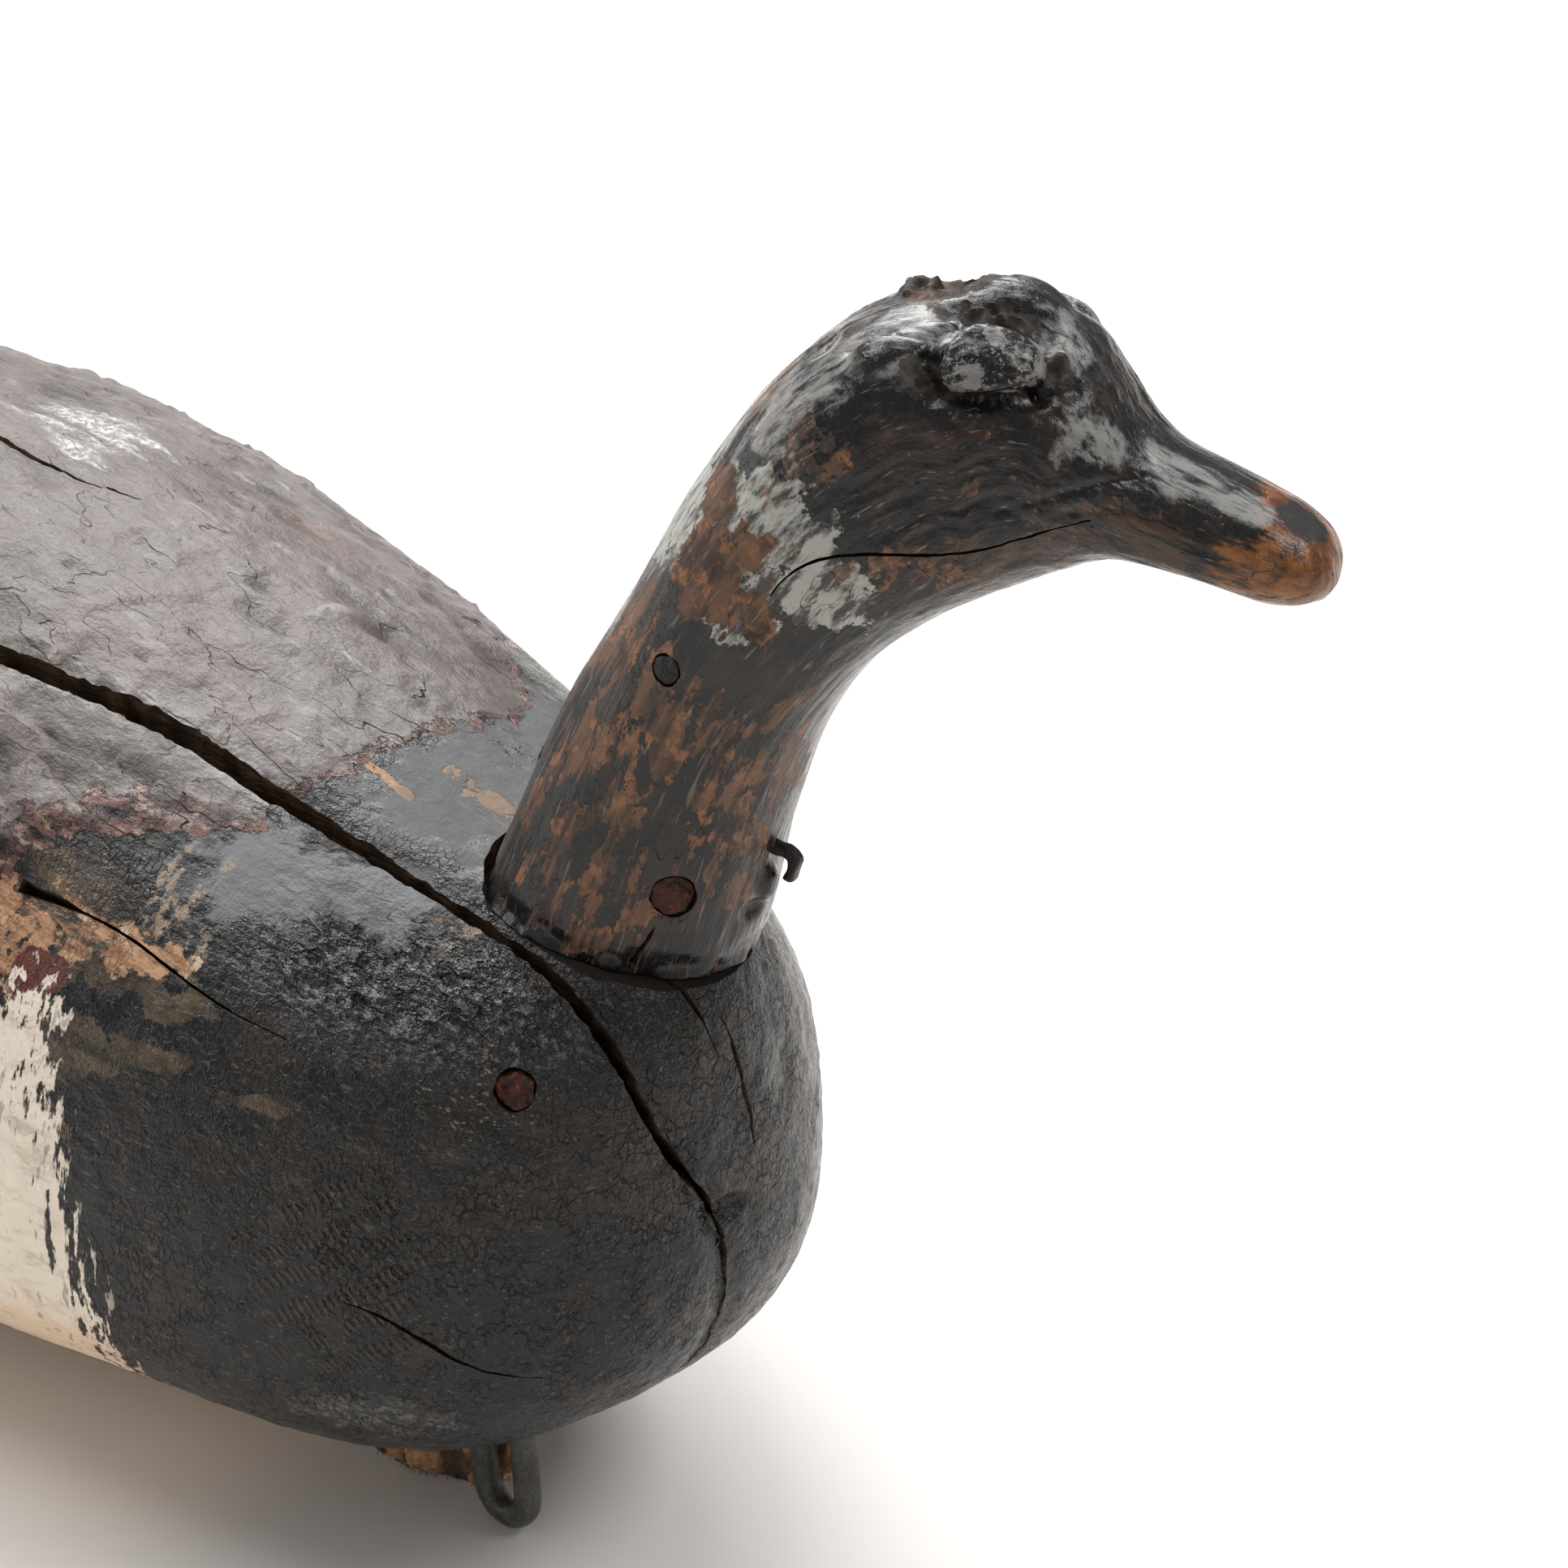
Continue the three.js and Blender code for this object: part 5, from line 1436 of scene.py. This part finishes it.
def bodyMaterial():
    look = bodyLook
    material, shader, place = newMaterial("carvedBodyPaint", specularIorLevel=look["shine"])
    drawn = stretched(place, 4.0)
    relief, rasped, greyCoat = (fieldOf(place, k) for k in ("relief", "rasped", "greyCoat"))
    broad = grained(place, 0.02, 5.0, 0.62)
    middle = grained(place, 0.006, 6.0, 0.66)
    fine = grained(place, 0.0013, 3.0, 0.7)
    streak = grained(drawn, 0.0032, 5.0, 0.66)
    brushed = mapped(place, rotation=(0, math.radians(-20), 0), scale=(1.0, 1.0, 0.22))
    brush = grained(brushed, 0.0021, 4.0, 0.62)

    # black paint, stained brown, scratched, with short wrinkles, painted glints on the rasped crests and a
    # painted sheen
    black = useGroup(oldPaint, color=look["black"], stain=look["stain"], worn=look["worn"], broad=broad,
                     middle=middle, fine=fine, gloss=look["blackGloss"], speckle=0.15)
    crests = awayFrom(grained(stretched(place, 2.2), 0.0024, 4.0, 0.62), 0.5)
    crumbs = mathOf("MULTIPLY_ADD", crests, -1.6, grained(stretched(place, 1.7), 0.0016, 3.0, 0.6))
    sheenCoat = layer("sheenGrey", middle, 3.0, 0.3)
    # painted glints: the rasped crests are drawn in a pale grey that stands for highlights
    glints = times(ramp(crumbs, 0.38, 0.6), ramp(fine, 0.42, 0.6, 0.15, 1.0))
    colour = mix(times(rasped, glints), black["Color"], look["glint"])
    side = partsOf(place)[1]
    # painted sheen: a lighter grey coat stands for light on the black paint, paler on the right shoulder as
    # a painted highlight
    sheenTone = mix(ramp(side, -0.008, -0.022), look["sheenGrey"], look["sheenHighlight"])
    colour = mix(sheenCoat, colour, sheenTone)
    rough = blend(rasped, black["Roughness"], look["raspRough"])
    rough = blend(sheenCoat, rough, look["coatRough"])
    wrinkles = useGroup(crackLines, vector=mapped(place, scale=(1.5, 1.0, 0.7)), cell=560.0, width=0.11,
                        broad=broad, share=0.68)["Mask"]
    for limit in (ramp(greyCoat, 0.0, -6.0), ramp(fieldOf(place, "sheenGrey"), 0.2, -0.4),
                  ramp(middle, 0.42, 0.54)):
        wrinkles = times(wrinkles, limit)
    colour = mix(times(wrinkles, 0.8), colour, look["groove"])
    scratch = useGroup(scratches, vector=place, size=1300.0, limit=0.64)["Mask"]
    scuffed = blend(layer("nailScuff", middle, 1.2, 0.4), 0.18, 0.5)
    colour = mix(times(scratch, scuffed), colour, look["tan"])

    # rows of saw teeth on the breast
    slanted = partsOf(mapped(place, rotation=(0, math.radians(sawMarks["slant"]), 0)))
    rows, teeth = (mathOf("SINE", mathOf("MULTIPLY_ADD", along, 2 * math.pi / run, times(broad, wander)))
                   for along, (run, wander) in ((slanted[2], sawMarks["rows"]),
                                                (slanted[0], sawMarks["teeth"])))
    rows = times(ramp(rows, -0.1, 0.5), layer("sawn", middle, 1.6, 0.4))
    rows = times(rows, ramp(middle, 0.38, 0.48))
    sawn = times(rows, ramp(teeth, -0.1, 0.7))
    colour = mix(times(rows, 0.3), colour, look["brown"])
    colour = mix(times(sawn, 0.85), colour, look["groove"])

    # dusty scuffs and tan smears
    dusty = times(layer("greyScuff", streak, 4.5, 0.5), ramp(fine, 0.44, 0.6, 0.15, 0.75))
    colour = mix(times(dusty, 0.35), colour, look["scuff"])
    smear = times(layer("tanSmear", middle, 2.4, 0.2), ramp(brush, 0.46, 0.58))
    colour = mix(times(smear, 0.7), colour, look["tan"])

    # varnish and bare wood
    brown = layer("brownPatch", middle, 3.6)
    brownTone = mix(ramp(streak, 0.4, 0.65), look["brown"], look["stain"])
    colour = mix(times(brown, 0.9), colour, brownTone)
    wood = useGroup(woodGrain, vector=place, light=look["wood"], dark=look["woodDark"], grain=620.0)
    bare = layer("bareWood", middle, 3.8)
    woodTone = mix(ramp(middle, 0.55, 0.68), wood["Color"], look["woodPale"])
    woodTone = mix(ramp(streak, 0.52, 0.68, 0.0, 0.55), woodTone, look["stain"])
    woodTone = mix(times(sheenCoat, 0.9), woodTone, look["dullTan"])
    remnant = ramp(broad, 0.6, 0.63)
    bare = times(bare, without(times(remnant, ramp(streak, 0.42, 0.5))))
    colour = mix(bare, colour, woodTone)
    rough = blend(bare, rough, look["woodRough"])
    colour = mix(layer("darkRed", middle, 2.4), colour, look["darkRed"])

    # white flank laid on with a brush, cream lower down
    flankCoat = fieldOf(place, "flankCoat")
    flank = layer(flankCoat, brush, 44.0, 1.2)
    dashes = times(ramp(brush, 0.6, 0.68), ramp(flankCoat, 30.0, 4.0, 0.2, 1.0))
    flank = mathOf("SUBTRACT", flank, times(dashes, 0.5), clamp=True)
    pale = mix(layer("creamCoat", middle, 26.0, 6.0), look["white"], look["cream"])
    pale = mix(ramp(streak, 0.5, 0.72, 0.0, 0.5), pale, look["tan"])
    colour = mix(flank, colour, pale)
    rough = blend(flank, rough, look["flankRough"])

    # grey back over red, its front edge chipped and split
    under = layer(mathOf("ADD", greyCoat, 1.2), middle, 17.0, 0.3)
    redTone = mix(ramp(middle, 0.42, 0.6), look["redDark"], look["red"])
    redTone = mix(ramp(streak, 0.54, 0.62, 0.0, 0.8), redTone, look["tan"])
    colour = mix(times(under, ramp(streak, 0.38, 0.46)), colour, redTone)
    coat = layer(mathOf("SUBTRACT", greyCoat, 1.0), middle, 17.0, 0.25)
    edgeNear = ramp(greyCoat, 26.0, 2.0)
    rightSide = ramp(side, -0.026, -0.04)
    bareAbove = blend(edgeNear, 0.66, 0.44)
    flaked = times(ramp(middle, bareAbove, mathOf("ADD", bareAbove, 0.02)), rightSide)
    coat = mathOf("SUBTRACT", coat, flaked, clamp=True)
    # split flakes: their outlines, and a step in height across each
    flow = grained(drawn, 0.011, 3.0, 0.5)
    splits = times(ramp(awayFrom(flow, 0.5), 0.007, 0.002), ramp(middle, 0.44, 0.52))
    splits = times(splits, ramp(greyCoat, 18.0, 6.0))
    outline = times(ramp(awayFrom(middle, 0.515), 0.011, 0.003), times(edgeNear, rightSide))
    splits = times(mathOf("MAXIMUM", splits, outline), under)
    step = times(ramp(flow, 0.496, 0.504), under)
    grey = useGroup(oldPaint, color=look["grey"], stain=look["greyStain"], worn=look["greyPale"],
                    broad=broad, middle=streak, fine=fine, gloss=look["greyGloss"], speckle=0.1)
    # darker where the relief sinks, paler where it stands out
    greyTone = mix(ramp(relief, 0.3, -1.2, 0.0, 0.85), grey["Color"], look["greyDark"])
    greyTone = mix(ramp(relief, 0.8, 1.7, 0.0, 0.6), greyTone, look["greyPale"])
    thin = times(ramp(broad, 0.6, 0.7), ramp(streak, 0.45, 0.6, 0.0, 0.6))
    greyTone = mix(thin, greyTone, look["red"])
    greyTone = mix(dusty, greyTone, look["dust"])
    rim = times(fieldOf(place, "checkRim"), ramp(middle, 0.42, 0.56))
    greyTone = mix(times(rim, 0.7), greyTone, look["scuff"])
    colour = mix(coat, colour, greyTone)
    rough = blend(coat, rough, grey["Roughness"])
    colour = mix(splits, colour, look["crack"])

    # black tail end
    tail = layer("tailCoat", middle, 24.0, 1.2)
    colour = mix(times(tail, 0.92), colour, black["Color"])
    rough = blend(tail, rough, look["tailRough"])

    # the thickness of the coats, with what is sunk or stands out in them
    thick = mathOf("MULTIPLY_ADD", coat, 0.6, times(under, 0.4))
    wrinkles = times(wrinkles, without(flank))
    for share, mask in ((-1.0, splits), (0.5, step), (-0.7, wrinkles), (0.3, flank), (-0.4, bare),
                        (0.15, brown)):
        thick = mathOf("MULTIPLY_ADD", mask, share, thick)
    crumbs = times(crumbs, times(blend(rasped, 0.07, 1.0), blend(sheenCoat, 1.0, 0.2)))
    dress(shader, colour, rough, (thick, 0.9, 0.0007), (without(sawn), 1.0, 0.0006),
          (black["Height"], 0.7, 0.001), (crumbs, 1.0, 0.0048))
    return material


headLook = {
    "black": (0.0095, 0.01, 0.0105), "stain": (0.03, 0.02, 0.014), "worn": (0.036, 0.028, 0.023),
    "orange": (0.14, 0.068, 0.036), "orangeDark": (0.042, 0.025, 0.017), "white": (0.4, 0.4, 0.365),
    # sheen is the colour of the painted highlights on the crests and the eyes
    "billBrown": (0.09, 0.05, 0.03), "sheen": (0.27, 0.265, 0.255), "bright": (0.25, 0.11, 0.047),
    "tip": (0.27, 0.105, 0.03), "spot": (0.014, 0.011, 0.01), "rim": (0.11, 0.036, 0.014),
    "raw": (0.17, 0.08, 0.035), "rawDark": (0.022, 0.016, 0.012), "pale": (0.4, 0.33, 0.25),
    "line": (0.012, 0.01, 0.009), "gloss": 0.19, "wornRough": 0.45, "patchRough": 0.6, "rawRough": 0.7,
    "tipRough": 0.2, "shine": 0.36,
}


def headMaterial():
    look = headLook
    material, shader, place = newMaterial("rootHeadPaint", specularIorLevel=look["shine"])
    along, across, deep = (fieldOf(place, k) for k in ("grainAlong", "grainAcross", "grainDeep"))
    grain = addNode(place.id_data, "ShaderNodeCombineXYZ", x=along, y=across, z=deep).outputs[0]
    grain = mapped(grain, scale=(0.001, 0.001, 0.001))
    broad = grained(place, 0.014, 5.0, 0.62)
    middle = grained(stretched(grain, 1.8), 0.0042, 6.0, 0.66)
    fine = grained(place, 0.001, 3.0, 0.7)
    streak = grained(stretched(grain, 7.0), 0.0015, 4.0, 0.65)

    black = useGroup(oldPaint, color=look["black"], stain=look["stain"], worn=look["worn"], broad=broad,
                     middle=middle, fine=fine, gloss=look["gloss"], speckle=0.25)
    fibre = mathOf("MULTIPLY_ADD", streak, 0.6, times(broad, 0.4))
    wood = mix(ramp(fibre, 0.42, 0.58), look["orangeDark"], look["orange"])
    fresh = grained(grain, 0.0034, 4.0, 0.7)
    wood = mix(ramp(fresh, 0.5, 0.64, 0.0, 0.9), wood, look["bright"])
    faint = times(ramp(streak, 0.48, 0.62), ramp(middle, 0.46, 0.6, 0.0, 0.5))
    colour = mix(faint, black["Color"], look["orangeDark"])
    rubbed = layer("cheekWear", middle, 4.5, 0.3, most=0.1)
    colour = mix(times(rubbed, ramp(streak, 0.42, 0.62, 0.0, 0.7)), colour, look["orangeDark"])

    # worn through to the wood in islands that run along the grain
    worn = layer("neckWear", middle, 7.5, most=0.05)
    worn = times(worn, ramp(streak, 0.36, 0.48, 0.3, 1.0))
    colour = mix(worn, colour, wood)
    rough = blend(worn, black["Roughness"], look["wornRough"])
    brush = grained(mapped(grain, rotation=(0, 0, 0.7), scale=(0.2, 1, 1)), 0.0022, 4.0, 0.65)
    white = times(layer("patchWhite", middle, 3.2), ramp(brush, 0.4, 0.56, 0.08, 1.0))
    colour = mix(white, colour, look["white"])
    bare = layer("patchBare", middle, 3.0)
    colour = mix(bare, colour, wood)
    rough = blend(mathOf("MAXIMUM", bare, white), rough, look["patchRough"])

    # bill's side and end
    rubbed = layer("billWear", streak, 7.0, 0.4, most=0.2)
    billTone = mix(ramp(fibre, 0.42, 0.6), look["orangeDark"], look["billBrown"])
    colour = mix(times(rubbed, 0.75), colour, billTone)
    tip = times(layer("tipWear", streak, 3.4, 0.25), ramp(middle, 0.36, 0.5, 0.3, 1.0))
    tipTone = mix(ramp(fibre, 0.4, 0.6), look["rim"], look["tip"])
    colour = mix(times(tip, 0.92), colour, tipTone)
    spotField = fieldOf(place, "tipSpot")
    spotRim = layer(mathOf("ADD", spotField, 0.2), middle, 1.2, 0.12)
    spot = layer(spotField, middle, 1.2, 0.1)
    colour = mix(times(spotRim, 0.8), colour, look["rim"])
    colour = mix(spot, colour, look["spot"])

    # painted highlights on the crests, the raw knot, and the eyes with painted glints
    sheen = times(layer("headSheen", middle, 3.0, 0.3, most=0.3), ramp(streak, 0.34, 0.54))
    colour = mix(times(sheen, 0.85), colour, look["sheen"])
    raw = layer("rawKnot", middle, 2.6, 0.1)
    rawTone = mix(times(ramp(streak, 0.46, 0.62), ramp(broad, 0.42, 0.56)), look["rawDark"], look["raw"])
    colour = mix(times(raw, 0.85), colour, rawTone)
    rough = blend(raw, rough, look["rawRough"])
    eye = layer("eyeGloss", middle, 0.8, 0.1)
    # painted glints: a pale sheen mottled over the glossy eyes
    eyeGlints = mathOf("MAXIMUM", ramp(middle, 0.53, 0.58), ramp(fine, 0.56, 0.62))
    colour = mix(times(eye, times(eyeGlints, 0.65)), colour, look["sheen"])
    rough = blend(mathOf("MAXIMUM", eye, tip), rough, look["tipRough"])
    rough = blend(spot, rough, look["patchRough"])
    scratch = useGroup(scratches, vector=grain, size=1300.0, limit=0.67)["Mask"]
    colour = mix(times(scratch, 0.3), colour, look["pale"])

    # fine cracks along the grain, and the thickness of the coats
    flow = grained(stretched(grain, 4.0), 0.007, 3.0, 0.5)
    lines = times(ramp(awayFrom(flow, 0.5), 0.005, 0.001), ramp(broad, 0.5, 0.58))
    colour = mix(times(lines, 0.7), colour, look["line"])
    through = mathOf("MAXIMUM", mathOf("MAXIMUM", worn, bare), raw)
    coat = mathOf("MULTIPLY_ADD", through, -0.7, times(white, 0.3))
    coat = mathOf("MULTIPLY_ADD", lines, -0.8, coat)
    dress(shader, colour, rough, (coat, 0.8, 0.0004), (black["Height"], 0.4, 0.0008),
          (streak, 0.4, 0.0006))
    return material


ironLook = {
    "wire": (0.085, 0.083, 0.071), "wireStain": (0.04, 0.037, 0.032), "wireWorn": (0.17, 0.15, 0.125),
    "nailGloss": 0.34, "nailShine": 0.25, "wireGloss": 0.42, "wireMetal": 0.25, "spotRough": 0.8,
}
leatherLook = {
    "brown": (0.3, 0.14, 0.05), "tan": (0.72, 0.42, 0.2), "dry": (0.8, 0.58, 0.34),
    "dark": (0.045, 0.03, 0.018), "fuzz": 0.3,
}


def ironCoat(place, rustScale, sizes, **tones):
    # the rust, the paint or dull skin over it, and the noises that break them up
    iron = useGroup(rust, vector=place, size=rustScale)
    broad, middle, fine = (grained(place, size, 4.0, 0.62) for size in sizes)
    return iron, useGroup(oldPaint, broad=broad, middle=middle, fine=fine, **tones), middle, fine


def nailMaterial():
    material, shader, place = newMaterial("rustyNailIron", specularIorLevel=ironLook["nailShine"])
    iron, black, middle, fine = ironCoat(
        place, 900.0, (0.006, 0.002, 0.0006), gloss=ironLook["nailGloss"],
        color=headLook["black"], stain=headLook["stain"], worn=headLook["worn"])
    covered = layer(mathOf("SUBTRACT", fieldOf(place, "painted"), 0.5), middle, 1.4)
    colour = mix(covered, iron["Color"], black["Color"])
    rough = blend(covered, iron["Roughness"], black["Roughness"])
    dress(shader, colour, rough, (iron["Height"], 0.6, 0.0006), (covered, 0.4, 0.0002),
          (fine, 0.4, 0.0003))
    return material


def wireMaterial():
    look = ironLook
    material, shader, place = newMaterial("tieWire", metallic=look["wireMetal"])
    iron, dull, middle, _ = ironCoat(
        place, 700.0, (0.007, 0.0028, 0.0007), gloss=look["wireGloss"],
        color=look["wire"], stain=look["wireStain"], worn=look["wireWorn"])
    spots = ramp(middle, 0.6, 0.7, 0.0, 0.7)
    colour = mix(spots, dull["Color"], iron["Color"])
    rough = blend(spots, dull["Roughness"], look["spotRough"])
    dress(shader, colour, rough, (dull["Height"], 0.5, 0.0005))
    return material


def leatherMaterial():
    look = leatherLook
    material, shader, place = newMaterial("dryLeather", sheenWeight=look["fuzz"])
    coarse = grained(place, 0.0045, 5.0, 0.65)
    fine = grained(place, 0.0009, 4.0, 0.7)
    colour = mix(ramp(coarse, 0.38, 0.62), look["brown"], look["tan"])
    colour = mix(ramp(fine, 0.5, 0.75, 0.0, 0.6), colour, look["dry"])
    dark = mathOf("MAXIMUM", fieldOf(place, "pits"), ramp(coarse, 0.44, 0.36))
    colour = mix(times(dark, 0.85), colour, look["dark"])
    rough = ramp(fine, 0.3, 0.7, 0.8, 0.95)
    dress(shader, colour, rough, (coarse, 0.8, 0.0012), (fine, 0.7, 0.0006))
    return material


# Build every piece and hand it over
def handOver(piece, node, edgeAngle=None):
    # edges sharper than the angle stay sharp; None leaves the shading as it is
    if edgeAngle:
        piece.data.shade_smooth()
        piece.data.set_sharp_from_angle(angle=math.radians(edgeAngle))
    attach(piece, "root")
    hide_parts(node)


def withMaterial(mesh, material):
    mesh.materials.clear()
    mesh.materials.append(material)


body, bodyCutters = buildBody()
withMaterial(body.data, bodyMaterial())
breastAt, breastOut = breastSpot()
nailSeat = nailHole("breastNailHole", breastAt, breastOut, breastNail["head"], breastNail["seed"])
cutAway(body, [*bodyCutters, seatCutter(), nailSeat], openWood)
handOver(body, "body", 40)
print("body carved and painted")

head, headCutters = buildHead()
withMaterial(head.data, headMaterial())
cutAway(head, headCutters, openWood)
handOver(head, "head_neck", 40)
print("head and neck carved and painted")

iron = nailMaterial()
nails = [(buildNail(name, nail, *headSpot(*nail["spot"])), nail["node"])
         for name, nail in neckNails.items()]
nails += [(buildNail("breastNail", breastNail, breastAt, breastOut), breastNail["node"]),
          (buildBentNail(), bentNail["node"])]
for nail, node in nails:
    withMaterial(nail.data, iron)
    handOver(nail, node, 50)
print("nails driven")

staple = buildStaple(wireMaterial())
handOver(staple, "line_tie")
scrap = buildScrap(leatherMaterial())
handOver(scrap, "leather_scrap", 50)
print("staple and leather placed")
